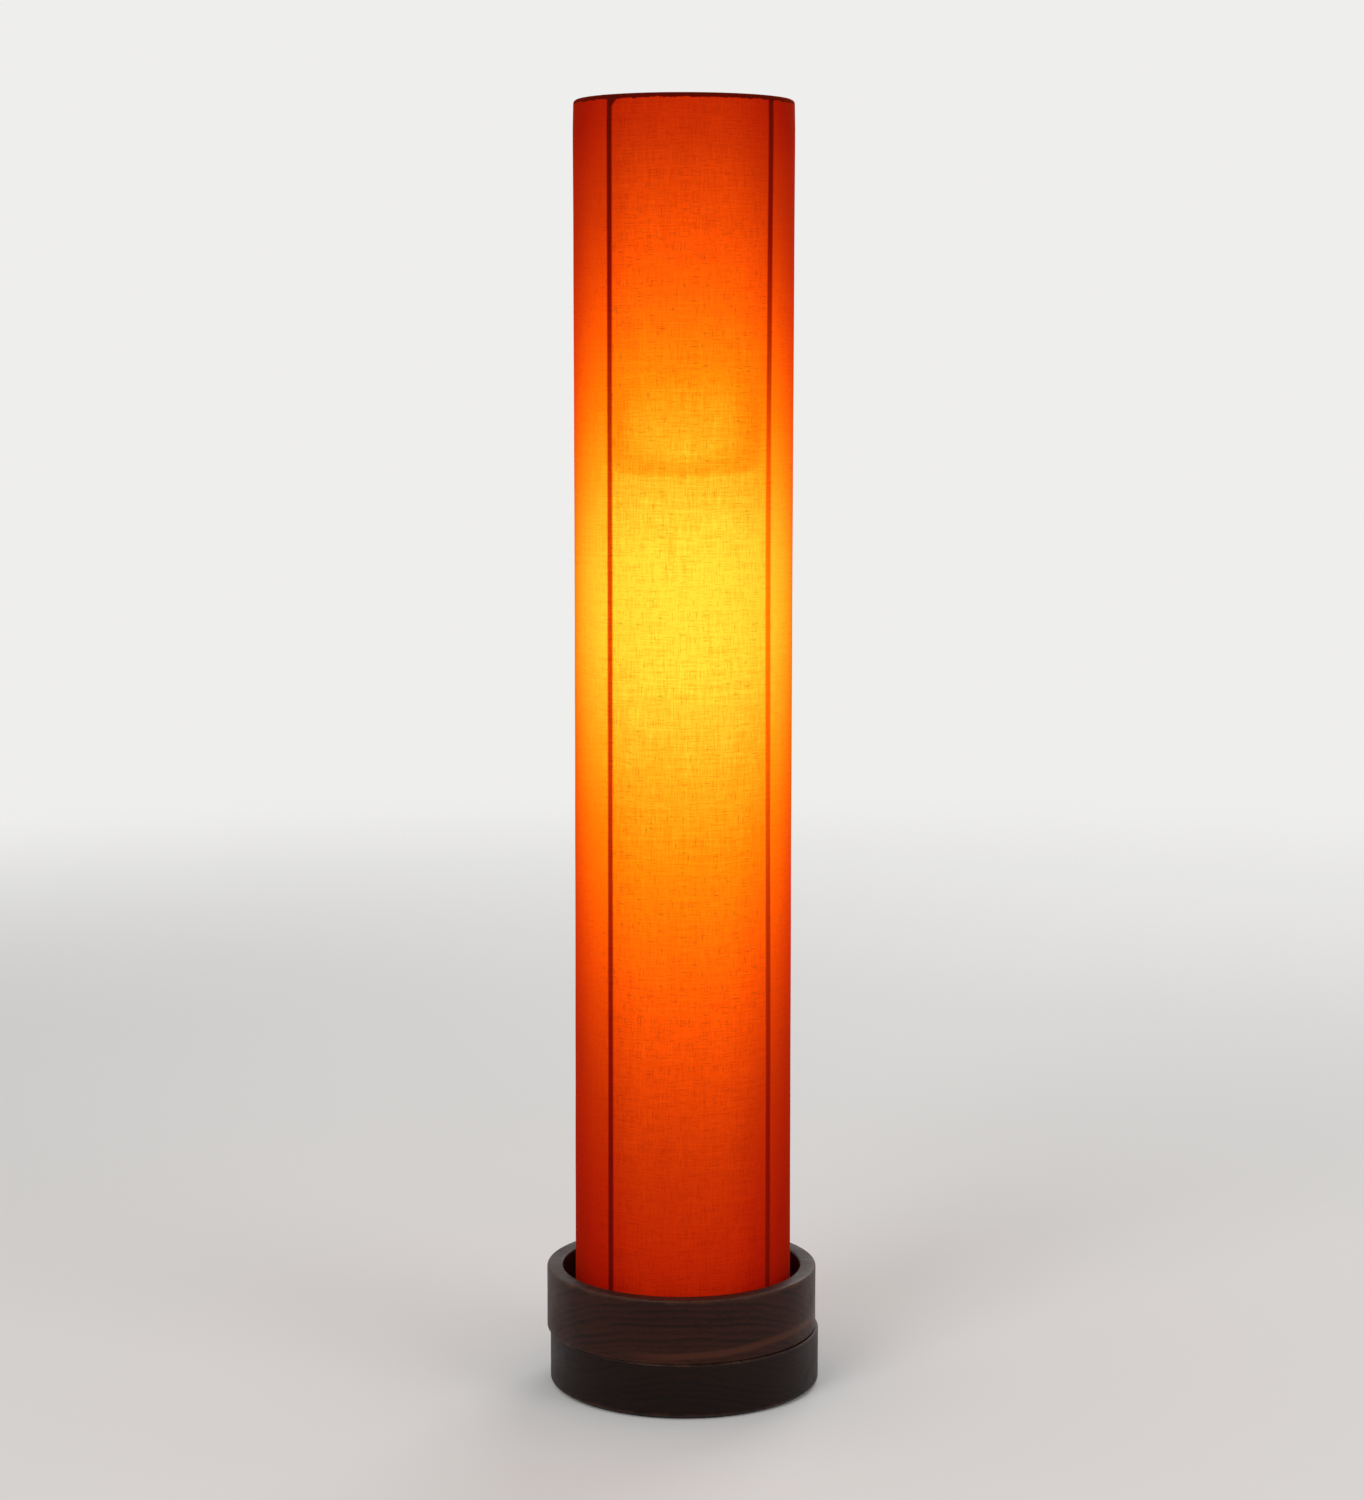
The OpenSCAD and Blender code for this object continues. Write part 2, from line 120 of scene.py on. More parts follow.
def cloudy(tree, vector, scale, detail=2.0, roughness=0.5, distortion=0.0):
    made = addNode(
        tree, "ShaderNodeTexNoise",
        {"Vector": vector, "Scale": scale, "Detail": detail, "Roughness": roughness,
         "Distortion": distortion},
    )
    return made.outputs["Fac"]


def mixColors(tree, share, a, b, blend="MIX"):
    # sockets 0, 6 and 7 are the node's factor and its two colours
    made = addNode(tree, "ShaderNodeMix", {0: share, 6: a, 7: b}, data_type="RGBA", blend_type=blend)
    return made.outputs[2]


def ramp(tree, value, stops):
    made = addNode(tree, "ShaderNodeValToRGB", {"Fac": value})
    points = made.color_ramp.elements
    while len(points) < len(stops):
        points.new(0.5)
    for point, (place, color) in zip(points, stops):
        point.position = place
        point.color = color
    return made.outputs["Color"]


def rgb(r, g, b):
    return (r, g, b, 1.0)


def bumpFrom(tree, height, strength, distance):
    made = addNode(tree, "ShaderNodeBump", {"Height": height, "Strength": strength, "Distance": distance})
    return made.outputs["Normal"]


def newMaterial(name):
    made = bpy.data.materials.new(name)
    made.use_nodes = True
    tree = made.node_tree
    tree.nodes.clear()
    shader = addNode(tree, "ShaderNodeBsdfPrincipled")
    addNode(tree, "ShaderNodeOutputMaterial", {"Surface": shader.outputs["BSDF"]})
    return made, tree, shader


def setShader(tree, shader, **values):
    for name, value in values.items():
        feed(tree, shader.inputs[name.replace("_", " ")], value)


def newGroup(name, inputs, outputs):
    # every group takes a Vector; the other inputs are (name, kind, default), outputs (name, kind)
    group = bpy.data.node_groups.new(name, "ShaderNodeTree")
    for label, kind, default in [("Vector", "Vector", (0, 0, 0)), *inputs]:
        socket = group.interface.new_socket(name=label, in_out="INPUT", socket_type="NodeSocket" + kind)
        socket.default_value = default
    for label, kind in outputs:
        group.interface.new_socket(name=label, in_out="OUTPUT", socket_type="NodeSocket" + kind)
    given = group.nodes.new("NodeGroupInput")
    taken = group.nodes.new("NodeGroupOutput")
    return group, given.outputs, taken.inputs


def useGroup(tree, group, inputs):
    return addNode(tree, "ShaderNodeGroup", inputs, node_tree=group).outputs


def objectPlace(tree):
    return addNode(tree, "ShaderNodeTexCoord").outputs["Object"]


def splitPlace(tree, vector):
    made = addNode(tree, "ShaderNodeSeparateXYZ", {"Vector": vector})
    return made.outputs["X"], made.outputs["Y"], made.outputs["Z"]


def spinProfile(points, steps, middle=0.0, closed=True):
    # turned all the way round; an open profile has no edge from its last point to its first
    bm = bmesh.new()
    verts = [bm.verts.new(point) for point in points]
    edges = [bm.edges.new((verts[i - 1], verts[i])) for i in range(0 if closed else 1, len(verts))]
    bmesh.ops.spin(
        bm, geom=verts + edges, cent=(middle, 0, 0), axis=(0, 0, 1), angle=2 * pi,
        steps=steps, use_merge=True,
    )
    bmesh.ops.remove_doubles(bm, verts=bm.verts, dist=1e-6)
    return bm


def addPiece(bm, name, smooth=True):
    mesh = bpy.data.meshes.new(name)
    bm.to_mesh(mesh)
    bm.free()
    for face in mesh.polygons:
        face.use_smooth = smooth
    piece = bpy.data.objects.new(name, mesh)
    scene.collection.objects.link(piece)
    return piece


def finishMesh(bm, name, smooth=True):
    bmesh.ops.recalc_face_normals(bm, faces=bm.faces)
    return addPiece(bm, name, smooth)


# the camera stands where the photograph was taken from
cameraView = {
    "place": (-0.00094, -2.2709, 0.7385),
    "tiltDown": 6.98,
    "roll": 0.057,
    "lens": 77.12,
    "sensor": 36,
    "clip": (0.05, 60),
}


def placeCamera():
    lens = bpy.data.cameras.new("photoCamera")
    lens.sensor_width = cameraView["sensor"]
    lens.lens = cameraView["lens"]
    lens.clip_start, lens.clip_end = cameraView["clip"]
    camera = bpy.data.objects.new("photoCamera", lens)
    camera.location = cameraView["place"]
    camera.rotation_euler = (radians(90 - cameraView["tiltDown"]), 0, 0)
    camera.rotation_euler.rotate_axis("Z", radians(cameraView["roll"]))
    scene.collection.objects.link(camera)
    scene.camera = camera


placeCamera()
print("camera placed")

# plain room, pale floor and three soft lamps
studio = {
    "roomLight": 0.5,
    "seenWhite": 0.86,
    "floorColor": rgb(0.80, 0.795, 0.785),
    "floorRadius": 4.0,
    "floorFadeFrom": 1.3,
    "floorFadeTo": 3.2,
    "lamps": (
        # name, place, size, watts
        ("keyLamp", (-1.5, -2.3, 2.1), 1.6, 30),
        ("fillLamp", (2.2, -1.6, 1.2), 1.8, 16),
        ("rearLamp", (0.9, 2.4, 1.9), 1.6, 20),
    ),
    "aim": (0, 0, 0.45),
}


def makeWorld():
    world = bpy.data.worlds.new("studioRoom")
    scene.world = world
    world.use_nodes = True
    tree = world.node_tree
    tree.nodes.clear()
    rays = addNode(tree, "ShaderNodeLightPath").outputs
    seen = calc(tree, "MAXIMUM", rays["Is Camera Ray"], rays["Is Glossy Ray"])
    seen = calc(tree, "MAXIMUM", seen, rays["Is Transmission Ray"])
    strength = addNode(
        tree, "ShaderNodeMapRange",
        {"Value": seen, "To Min": studio["roomLight"], "To Max": studio["seenWhite"]},
    ).outputs["Result"]
    sky = addNode(tree, "ShaderNodeBackground", {"Color": rgb(1, 0.995, 0.985), "Strength": strength})
    addNode(tree, "ShaderNodeOutputWorld", {"Surface": sky.outputs["Background"]})


def makeFloor():
    bm = bmesh.new()
    bmesh.ops.create_circle(bm, cap_ends=True, segments=96, radius=studio["floorRadius"])
    floor = finishMesh(bm, "studioFloor", smooth=False)
    if floor.data.polygons[0].normal.z < 0:
        floor.data.flip_normals()
    paper, tree, shader = newMaterial("pale floor")
    place = objectPlace(tree)
    far = addNode(tree, "ShaderNodeVectorMath", {0: place}, operation="LENGTH").outputs["Value"]
    setShader(tree, shader, Base_Color=studio["floorColor"], Roughness=0.9, Specular_IOR_Level=0.1)
    clear = addNode(tree, "ShaderNodeBsdfTransparent").outputs["BSDF"]
    share = fade(tree, far, studio["floorFadeFrom"], studio["floorFadeTo"])
    mixed = addNode(tree, "ShaderNodeMixShader", {0: share, 1: shader.outputs["BSDF"], 2: clear})
    out = next(n for n in tree.nodes if n.type == "OUTPUT_MATERIAL")
    tree.links.new(mixed.outputs["Shader"], out.inputs["Surface"])
    floor.data.materials.append(paper)


def makeLamps():
    aim = Vector(studio["aim"])
    for name, place, size, watts in studio["lamps"]:
        light = bpy.data.lights.new(name, "AREA")
        light.shape = "DISK"
        light.size = size
        light.energy = watts
        lamp = bpy.data.objects.new(name, light)
        lamp.location = place
        lamp.rotation_euler = (aim - Vector(place)).to_track_quat("-Z", "Y").to_euler()
        lamp.visible_camera = False
        scene.collection.objects.link(lamp)


makeWorld()
makeFloor()
makeLamps()
scene.view_settings.view_transform = "Standard"
print("studio lit")

# cotton sleeve, stretched over the hoops and uprights
sleeve = {
    "around": 240,
    "rows": 108,
    "clothThickness": 0.9 * mm,
    # the cloth's way round the bottom and top hoops, in degrees from straight out
    "footHemFrom": -285,
    "topHemTo": 225,
    "hemSteps": 12,
    "flapRows": 4,
    "flapLength": 9 * mm,
    "flapWave": 1.2 * mm,
    "flapLean": 0.4 * mm,
    "flapUneven": 0.25 * mm,
    # the flap's lift over each upright, and its width along the cloth
    "wireLift": 3.1 * mm,
    "liftWidth": 4.2 * mm,
    "pullIn": 0.15 * mm,
    "topFlare": 0.35 * mm,
    "footFlare": 0.8 * mm,
    "wireRidge": 0.12 * mm,
    "ridgeWidth": 3 * mm,
    # small gathers beside the hems, and how far up and down they reach
    "pucker": 0.14 * mm,
    "puckerReach": 9 * mm,
    "slack": 0.12 * mm,
    "hemHold": 20 * mm,
    "seamTurn": 214,
    "seamOverlap": 10 * mm,
    "seamRise": 0.35 * mm,
}


def hemArc(centreZ, startAngle, endAngle):
    steps = sleeve["hemSteps"]
    hemRadius = shadeRadius - hoopCentre
    points = []
    for i in range(steps + 1):
        angle = radians(startAngle + (endAngle - startAngle) * i / steps)
        points.append((hoopCentre + hemRadius * cos(angle), centreZ + hemRadius * sin(angle)))
    return points


def sleeveOutline():
    # (out, height) from the turn under the bottom hoop to the cut edge inside the top hoop
    hemRadius = shadeRadius - hoopCentre
    lowZ, highZ = shadeLow.z + hemRadius, shadeHigh.z - hemRadius
    flapRadius = shadeRadius - 2 * sleeve["clothThickness"]
    wall = [
        (shadeRadius, lowZ + (highZ - lowZ) * i / sleeve["rows"])
        for i in range(1, sleeve["rows"])
    ]
    top = hemArc(highZ, 0, sleeve["topHemTo"])
    flapTop = top[-1][1] - (flapRadius - top[-1][0])
    rows = sleeve["flapRows"]
    flap = [(flapRadius, flapTop - sleeve["flapLength"] * i / rows) for i in range(rows + 1)]
    return hemArc(lowZ, sleeve["footHemFrom"], 0) + wall + top + flap


def wireDistance(angle):
    # distance along the cloth to the nearest upright
    gaps = [((angle - turn + pi) % (2 * pi)) - pi for turn in uprightTurns.values()]
    return min(gaps, key=abs) * shadeRadius


def spanShare(angle):
    # how far between two uprights, from 0 to 1
    turns = sorted(turn % (2 * pi) for turn in uprightTurns.values())
    here = angle % (2 * pi)
    after = next((t for t in turns if t >= here), turns[0] + 2 * pi)
    before = next((t for t in reversed(turns) if t <= here), turns[-1] - 2 * pi)
    return (here - before) / max(after - before, 1e-6)


def seamDistance(angle):
    # the small lead keeps the column of points on the seam itself at the low end
    return ((angle - radians(sleeve["seamTurn"]) + 1e-5) % (2 * pi)) * shadeRadius


def drapeSleeve(bm, flapEdge):
    lowZ, highZ = shadeLow.z, shadeHigh.z
    for vert in bm.verts:
        angle = turnOf(vert.co)
        out = (vert.co.x ** 2 + vert.co.y ** 2) ** 0.5
        gap = wireDistance(angle)
        height = vert.co.z
        share = (height - lowZ) / (highZ - lowZ)
        around = Vector((sin(angle), cos(angle), 0)) * shadeRadius
        if out > shadeRadius - 0.2 * mm:
            # the outer wall
            ends = max(0, min(1, (height - lowZ) / sleeve["hemHold"], (highZ - height) / sleeve["hemHold"]))
            move = -sleeve["pullIn"] * sin(pi * share) * sin(pi * spanShare(angle)) ** 2
            move += sleeve["footFlare"] * max(0, 1 - 1.6 * share) * ends
            move += sleeve["topFlare"] * max(0, 1.6 * share - 0.6) * ends
            if 0 < seamDistance(angle) < sleeve["seamOverlap"]:
                move += sleeve["seamRise"]
            move += sleeve["wireRidge"] * exp(-(gap / sleeve["ridgeWidth"]) ** 2) * ends
            move += sleeve["slack"] * noise.noise((around + Vector((0, 0, height))) * 14) * ends
            reach = sleeve["puckerReach"]
            pucker = exp(-(highZ - height) / reach) + exp(-(height - lowZ) / reach)
            move += sleeve["pucker"] * noise.noise(around * 130 + Vector((0, 0, height * 12))) * pucker
        elif height > highZ - 30 * mm and height < flapEdge:
            # the flap that hangs inside from the top hoop
            move = -sleeve["wireLift"] * exp(-(gap / sleeve["liftWidth"]) ** 2)
            move += sleeve["flapUneven"] * noise.noise(around * 90)
            drop = (flapEdge - height) / sleeve["flapLength"]
            vert.co.z += sleeve["flapWave"] * drop * noise.noise(around * 60 + Vector((7, 3, 1)))
            move -= sleeve["flapLean"] * drop
        else:
            move = sleeve["pucker"] * 0.8 * noise.noise(around * 150 + Vector((0, 0, height * 80)))
        scale = (out + move) / out
        vert.co.x *= scale
        vert.co.y *= scale


def layFlat(bm):
    # the cloth's own map, in metres: u round from the seam, v up
    layer = bm.loops.layers.uv.new("clothMetres")
    girth = 2 * pi * shadeRadius
    for face in bm.faces:
        places = [seamDistance(turnOf(loop.vert.co)) for loop in face.loops]
        wraps = max(places) - min(places) > girth / 2
        for loop, place in zip(face.loops, places):
            if wraps and place < girth / 2:
                place += girth
            loop[layer].uv = (place, loop.vert.co.z)


def makeSleeve():
    outline = sleeveOutline()
    turn = radians(sleeve["seamTurn"])
    points = [(out * sin(turn), -out * cos(turn), height) for out, height in outline]
    bm = spinProfile(points, sleeve["around"], closed=False)
    flapEdge = outline[-sleeve["flapRows"] - 1][1] + 1e-5
    drapeSleeve(bm, flapEdge)
    layFlat(bm)
    bmesh.ops.recalc_face_normals(bm, faces=bm.faces)
    # a face half way up tells which way the wall looks
    wall = next(f for f in bm.faces if abs(f.calc_center_median().z - 0.5) < 0.01)
    if wall.normal.dot(wall.calc_center_median() * Vector((1, 1, 0))) < 0:
        bmesh.ops.reverse_faces(bm, faces=bm.faces)
    piece = addPiece(bm, "cotton_sleeve")
    thick = piece.modifiers.new("cloth thickness", "SOLIDIFY")
    thick.thickness = sleeve["clothThickness"]
    thick.offset = -1
    thick.use_even_offset = True
    thick.material_offset = 1
    thick.material_offset_rim = 0
    return piece


# the bulb's light on the cloth: where it is brightest, and how far it spreads
glow = {
    "height": 0.572,
    "spreadUp": 0.1385,
    "spreadDown": 0.171,
    # at the sides the light reaches less far up and down, by this factor, and less again at the rim
    "sideFrom": 0.35 * shadeRadius,
    "sideTo": 0.85 * shadeRadius,
    "sideReach": 1.14,
    "rimFrom": 0.80 * shadeRadius,
    "rimReach": 0.11,
    # the share of light left under the top hem, in the middle and less at the rim
    "topFrom": 0.850,
    "topTo": 0.905,
    "topShare": 0.78,
    "topRimFrom": 0.65 * shadeRadius,
    "topRimShare": 0.45,
    # soft shadow between the front uprights, a bowl shape with a brighter patch in it
    "bowl": {"floor": 0.6580, "half": 0.0509, "round": 0.016, "middle": 0.0014, "power": 4.5, "soft": 0.13},
    "patch": {"floor": 0.667, "half": 0.039, "round": 0.026, "middle": 0.0, "power": 2.0, "soft": 0.4},
    "bowlDepth": 0.25,
    "patchGain": 0.11,
    "fadeFrom": 0.690,
    "fadeTo": 0.745,
    # painted shadows of the uprights, which bow along a slow wave, and the painted dark hems where the hoops
    # shade the cloth
    "wireTopFrom": 0.62,
    "wireTopTo": 0.86,
    "wireSoft": 1.4 * mm,
    "bowMiddle": 0.40,
    "bowLength": 0.95,
    "weldLight": 0.06,
    "hemDepth": 3.6 * mm,
    "hemWave": 4.0 * mm,
    "hemLight": 0.03,
    "colors": (
        # cube root of the light's share, and the colour that the cloth gives it
        (0.08, rgb(0.024, 0.0002, 0.0)),
        (0.20, rgb(0.22, 0.0015, 0.0)),
        (0.26, rgb(0.34, 0.0165, 0.0)),
        (0.34, rgb(0.475, 0.046, 0.0002)),
        (0.41, rgb(0.70, 0.083, 0.0005)),
        (0.50, rgb(1.0, 0.147, 0.001)),
        (0.60, rgb(1.3, 0.262, 0.0015)),
        (0.73, rgb(1.5, 0.465, 0.004)),
        (0.86, rgb(1.55, 0.785, 0.030)),
        (0.95, rgb(1.6, 1.09, 0.080)),
        (1.0, rgb(1.6, 1.33, 0.115)),
    ),
    # the same for the thicker threads
    "threadColors": (
        (0.08, rgb(0.018, 0.0001, 0.0)),
        (0.20, rgb(0.18, 0.0011, 0.0)),
        (0.26, rgb(0.29, 0.0120, 0.0)),
        (0.34, rgb(0.40, 0.034, 0.0001)),
        (0.41, rgb(0.56, 0.062, 0.0004)),
        (0.50, rgb(0.62, 0.110, 0.0008)),
        (0.60, rgb(0.63, 0.190, 0.001)),
        (0.73, rgb(0.64, 0.330, 0.003)),
        (0.86, rgb(0.65, 0.560, 0.018)),
        (1.0, rgb(0.66, 0.95, 0.070)),
    ),
}

# the shadow that each upright throws on the cloth, painted into its glow
wireShadows = {
    # name: share of light over it, at its top, share of the bulb's spill, then its line's shift,
    # bow, half width and weld
    "upright_front_left": (0.11, 0.05, 0.0, 0.0, 0.1 * mm, 2.0 * mm, 7.0 * mm),
    "upright_front_right": (0.25, 0.10, 0.10, 0.0, 1.0 * mm, 2.3 * mm, 3.5 * mm),
    "upright_rear_right": (0.12, 0.07, 0.03, 0.2 * mm, -0.6 * mm, 2.0 * mm, 5.0 * mm),
    "upright_rear_left": (0.16, 0.09, 0.08, -0.3 * mm, 0.5 * mm, 2.1 * mm, 6.0 * mm),
}


def bowl(tree, x, z, shape):
    # 1 inside a bowl outline: straight sides over a rounded floor, squarer with a higher power
    soft, power = shape["soft"], shape["power"]
    beside = calc(tree, "ABSOLUTE", minus(tree, x, shape["middle"]))
    across = calc(tree, "POWER", calc(tree, "DIVIDE", beside, shape["half"]), power)
    under = minus(tree, shape["floor"] + shape["round"], z)
    under = calc(tree, "DIVIDE", calc(tree, "MAXIMUM", under, 0.0), shape["round"])
    away = plus(tree, across, calc(tree, "POWER", under, power))
    return fade(tree, calc(tree, "POWER", away, 1 / power), 1 + soft, 1 - soft)


def clothLight(tree, x, y, z):
    # how much of the bulb's light reaches each place of the cloth, 1 at the brightest
    rise = minus(tree, z, glow["height"])
    above = calc(tree, "DIVIDE", calc(tree, "MAXIMUM", rise, 0.0), glow["spreadUp"])
    below = calc(tree, "DIVIDE", calc(tree, "MINIMUM", rise, 0.0), glow["spreadDown"])
    aside = calc(tree, "ABSOLUTE", x)
    reach = fade(tree, aside, glow["sideFrom"], glow["sideTo"], 1.0, glow["sideReach"])
    rim = fade(tree, aside, glow["rimFrom"], shadeRadius)
    reach = plus(tree, reach, times(tree, rim, glow["rimReach"]))
    away = times(tree, plus(tree, above, below), reach)
    light = calc(tree, "POWER", calc(tree, "COSH", away), -2.0)
    leftOver = fade(tree, aside, glow["topRimFrom"], shadeRadius, glow["topShare"], glow["topRimShare"])
    underHem = fade(tree, z, glow["topFrom"], glow["topTo"], 1.0, leftOver)
    light = times(tree, light, underHem)
    front = fade(tree, y, 0.0, -0.3 * shadeRadius)
    top = fade(tree, z, glow["fadeTo"], glow["fadeFrom"])
    here = times(tree, front, top)
    shadow = bowl(tree, x, z, glow["bowl"])
    patch = bowl(tree, x, z, glow["patch"])
    shadow = times(tree, shadow, minus(tree, 1.0, patch))
    shadow = times(tree, times(tree, shadow, here), -glow["bowlDepth"])
    patch = times(tree, times(tree, patch, here), glow["patchGain"])
    return times(tree, light, plus(tree, plus(tree, shadow, patch), 1.0))


def wireShade(tree, u, z, uneven, light):
    # painted shade: 1 on open cloth, less where an upright or a hoop lies against it and throws its shadow
    kept = None
    topEdge = shadeHigh.z - glow["hemDepth"]
    footEdge = shadeLow.z + glow["hemDepth"]
    bend = times(tree, minus(tree, z, glow["bowMiddle"]), 2 * pi / glow["bowLength"])
    bend = calc(tree, "SINE", bend)
    for name, (over, overTop, spill, shift, bow, half, weld) in wireShadows.items():
        # distance along the cloth from the line that the upright throws, which bows a little
        line = seamDistance(uprightTurns[name]) + shift
        side = plus(tree, minus(tree, u, line), times(tree, bend, bow))
        near = calc(tree, "ABSOLUTE", side)
        through = fade(tree, z, glow["wireTopFrom"], glow["wireTopTo"], over, overTop)
        least = plus(tree, through, times(tree, light, spill))
        shown = fade(tree, near, half - glow["wireSoft"] / 2, half + glow["wireSoft"], least, 1.0)
        kept = shown if kept is None else times(tree, kept, shown)
        # painted shadow of the weld in the corner between the upright and the hoop
        beside = calc(tree, "ABSOLUTE", minus(tree, side, weld * 0.3))
        corner = plus(tree, beside, minus(tree, topEdge, z))
        weldShadow = fade(tree, corner, weld * 0.45, weld * 0.8, glow["weldLight"], 1.0)
        kept = times(tree, kept, weldShadow)
    # painted shadows of the top and bottom hoops along the hems, with a wavy edge
    wavy = times(tree, minus(tree, uneven, 0.5), glow["hemWave"])
    edge = plus(tree, z, wavy)
    top = fade(tree, edge, topEdge - 0.3 * mm, topEdge + 0.7 * mm, 1.0, glow["hemLight"])
    bottom = fade(tree, edge, footEdge, footEdge + 1.4 * mm, glow["hemLight"], 1.0)
    kept = times(tree, kept, top)
    return times(tree, kept, bottom)


def makeWeave():
    # threads of a plain woven slub cloth, on a map in metres
    group, given, taken = newGroup(
        "slub weave",
        [("Streaks", "Float", 1.0), ("Thread Pitch", "Float", 0.7 * mm)],
        [("Shade", "Float"), ("Slubs", "Float"), ("Height", "Float")],
    )
    place = given["Vector"]
    warp = cloudy(group, stretch(group, place, (900, 60, 1)), 1.0, 1.0)
    weft = cloudy(group, stretch(group, place, (48, 940, 1), (3, 9, 4)), 1.0, 1.0)
    wideWarp = cloudy(group, stretch(group, place, (300, 14, 1), (5, 1, 8)), 1.0, 1.0)
    wideWeft = cloudy(group, stretch(group, place, (11, 280, 1), (1, 6, 2)), 1.0, 1.0)
    patches = cloudy(group, stretch(group, place, (34, 34, 1), (2, 2, 6)), 1.0, 3.0)
    fine = plus(group, warp, weft)
    wide = times(group, plus(group, wideWarp, wideWeft), 0.45)
    total = plus(group, fine, plus(group, wide, times(group, patches, 0.30)))
    centred = minus(group, total, 1.60)
    shade = plus(group, 1.0, times(group, centred, given["Streaks"]))
    group.links.new(shade, taken["Shade"])
    knotsAcross = cloudy(group, stretch(group, place, (130, 1300, 1), (4, 4, 4)), 1.0, 1.0)
    knotsUp = cloudy(group, stretch(group, place, (1300, 120, 1), (8, 2, 7)), 1.0, 1.0)
    across = fade(group, knotsAcross, 0.585, 0.68)
    up = fade(group, knotsUp, 0.595, 0.69)
    group.links.new(calc(group, "MAXIMUM", across, up), taken["Slubs"])
    u, v, _ = splitPlace(group, place)
    turns = []
    for along in (u, v):
        phase = times(group, calc(group, "DIVIDE", along, given["Thread Pitch"]), pi)
        turns.append(calc(group, "SINE", phase))
    weave = times(group, turns[0], turns[1])
    height = plus(group, times(group, weave, 0.35), times(group, fine, 0.8))
    group.links.new(height, taken["Height"])
    return group


weaveGroup = makeWeave()
cotton = {
    "color": rgb(0.34, 0.016, 0.002),
    "streaks": 0.48,
    "slubDark": 0.20,
    "sheenColor": rgb(0.30, 0.015, 0.002),
    "sheenRoughness": 0.5,
    "coatColor": rgb(0.82, 0.60, 0.36),
    # the threads show less towards the sides, where the cloth lies smoother
    "calmFrom": 0.6 * shadeRadius,
    "calmTo": 0.8 * shadeRadius,
    "sideCalm": 0.5,
    "seamLight": 0.55,
    # the thin film behind the cotton, and its colours by the cube root of the light's share
    "film": rgb(0.72, 0.26, 0.10),
    "filmPale": rgb(0.80, 0.33, 0.14),
    "filmColors": (
        (0.2, rgb(0.10, 0.008, 0.001)),
        (0.45, rgb(0.46, 0.080, 0.006)),
        (0.75, rgb(0.86, 0.30, 0.035)),
        (1.0, rgb(1.1, 0.60, 0.12)),
    ),
}


def cottonMaterial():
    made, tree, shader = newMaterial("orange slub cotton")
    flat = addNode(tree, "ShaderNodeUVMap", uv_map="clothMetres").outputs["UV"]
    u, v, _ = splitPlace(tree, flat)
    x, y, z = splitPlace(tree, objectPlace(tree))
    aside = calc(tree, "ABSOLUTE", x)
    calm = fade(tree, aside, cotton["calmFrom"], cotton["calmTo"], 1.0, cotton["sideCalm"])
    streaks = times(tree, calm, cotton["streaks"])
    threads = useGroup(tree, weaveGroup, {"Vector": flat, "Streaks": streaks})
    uneven = cloudy(tree, stretch(tree, flat, (110, 1, 1)), 1.0, 3.0, 0.6)
    light = clothLight(tree, x, y, z)
    shade = wireShade(tree, u, z, uneven, light)
    slubs = times(tree, threads["Slubs"], calm)
    dark = minus(tree, 1.0, times(tree, slubs, cotton["slubDark"]))
    seamEdge = sleeve["seamOverlap"]
    overlap = fade(tree, u, seamEdge - 0.3 * mm, seamEdge + 0.3 * mm, cotton["seamLight"], 1.0)
    light = times(tree, light, shade)
    light = times(tree, light, times(tree, threads["Shade"], overlap))
    share = calc(tree, "POWER", calc(tree, "MAXIMUM", light, 0.0), 1 / 3)
    openCloth = ramp(tree, share, glow["colors"])
    lit = mixColors(tree, slubs, openCloth, ramp(tree, share, glow["threadColors"]))
    # painted shade: the base colour is darkened where the uprights and hoops throw their shadow
    softShade = fade(tree, shade, 0.0, 1.0, 0.24, 1.0)
    # in reflected light the threads show less than against the bulb
    threadShade = plus(tree, times(tree, threads["Shade"], 0.4), 0.6)
    threadShade = times(tree, times(tree, threadShade, dark), softShade)
    dyedAndShaded = mixColors(tree, 1.0, cotton["color"], threadShade, "MULTIPLY")
    setShader(
        tree, shader,
        Base_Color=dyedAndShaded, Roughness=0.85, Emission_Color=lit, Emission_Strength=1.0,
        Sheen_Weight=1.0, Sheen_Roughness=cotton["sheenRoughness"], Sheen_Tint=cotton["sheenColor"],
        Coat_Weight=1.0, Coat_IOR=1.05, Coat_Roughness=1.0, Coat_Tint=cotton["coatColor"],
        Specular_IOR_Level=0.05, Normal=bumpFrom(tree, threads["Height"], 0.35, 0.25 * mm),
    )
    return made


def backingMaterial():
    made, tree, shader = newMaterial("backing film")
    place = objectPlace(tree)
    x, y, z = splitPlace(tree, place)
    light = clothLight(tree, x, y, z)
    share = calc(tree, "POWER", light, 1 / 3)
    mottle = cloudy(tree, place, 60, 3)
    lit = mixColors(tree, 0.25, ramp(tree, share, cotton["filmColors"]), mottle, "MULTIPLY")
    setShader(
        tree, shader,
        Base_Color=mixColors(tree, mottle, cotton["film"], cotton["filmPale"]),
        Roughness=fade(tree, mottle, 0.3, 0.7, 0.38, 0.5), Emission_Color=lit, Emission_Strength=1.0,
        Normal=bumpFrom(tree, mottle, 0.15, 0.3 * mm),
    )
    return made


cottonSleeve = makeSleeve()
cottonSleeve.data.materials.append(cottonMaterial())
cottonSleeve.data.materials.append(backingMaterial())
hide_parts("shade_cloth")
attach(cottonSleeve, "lamp")
print("cotton sleeve stretched")


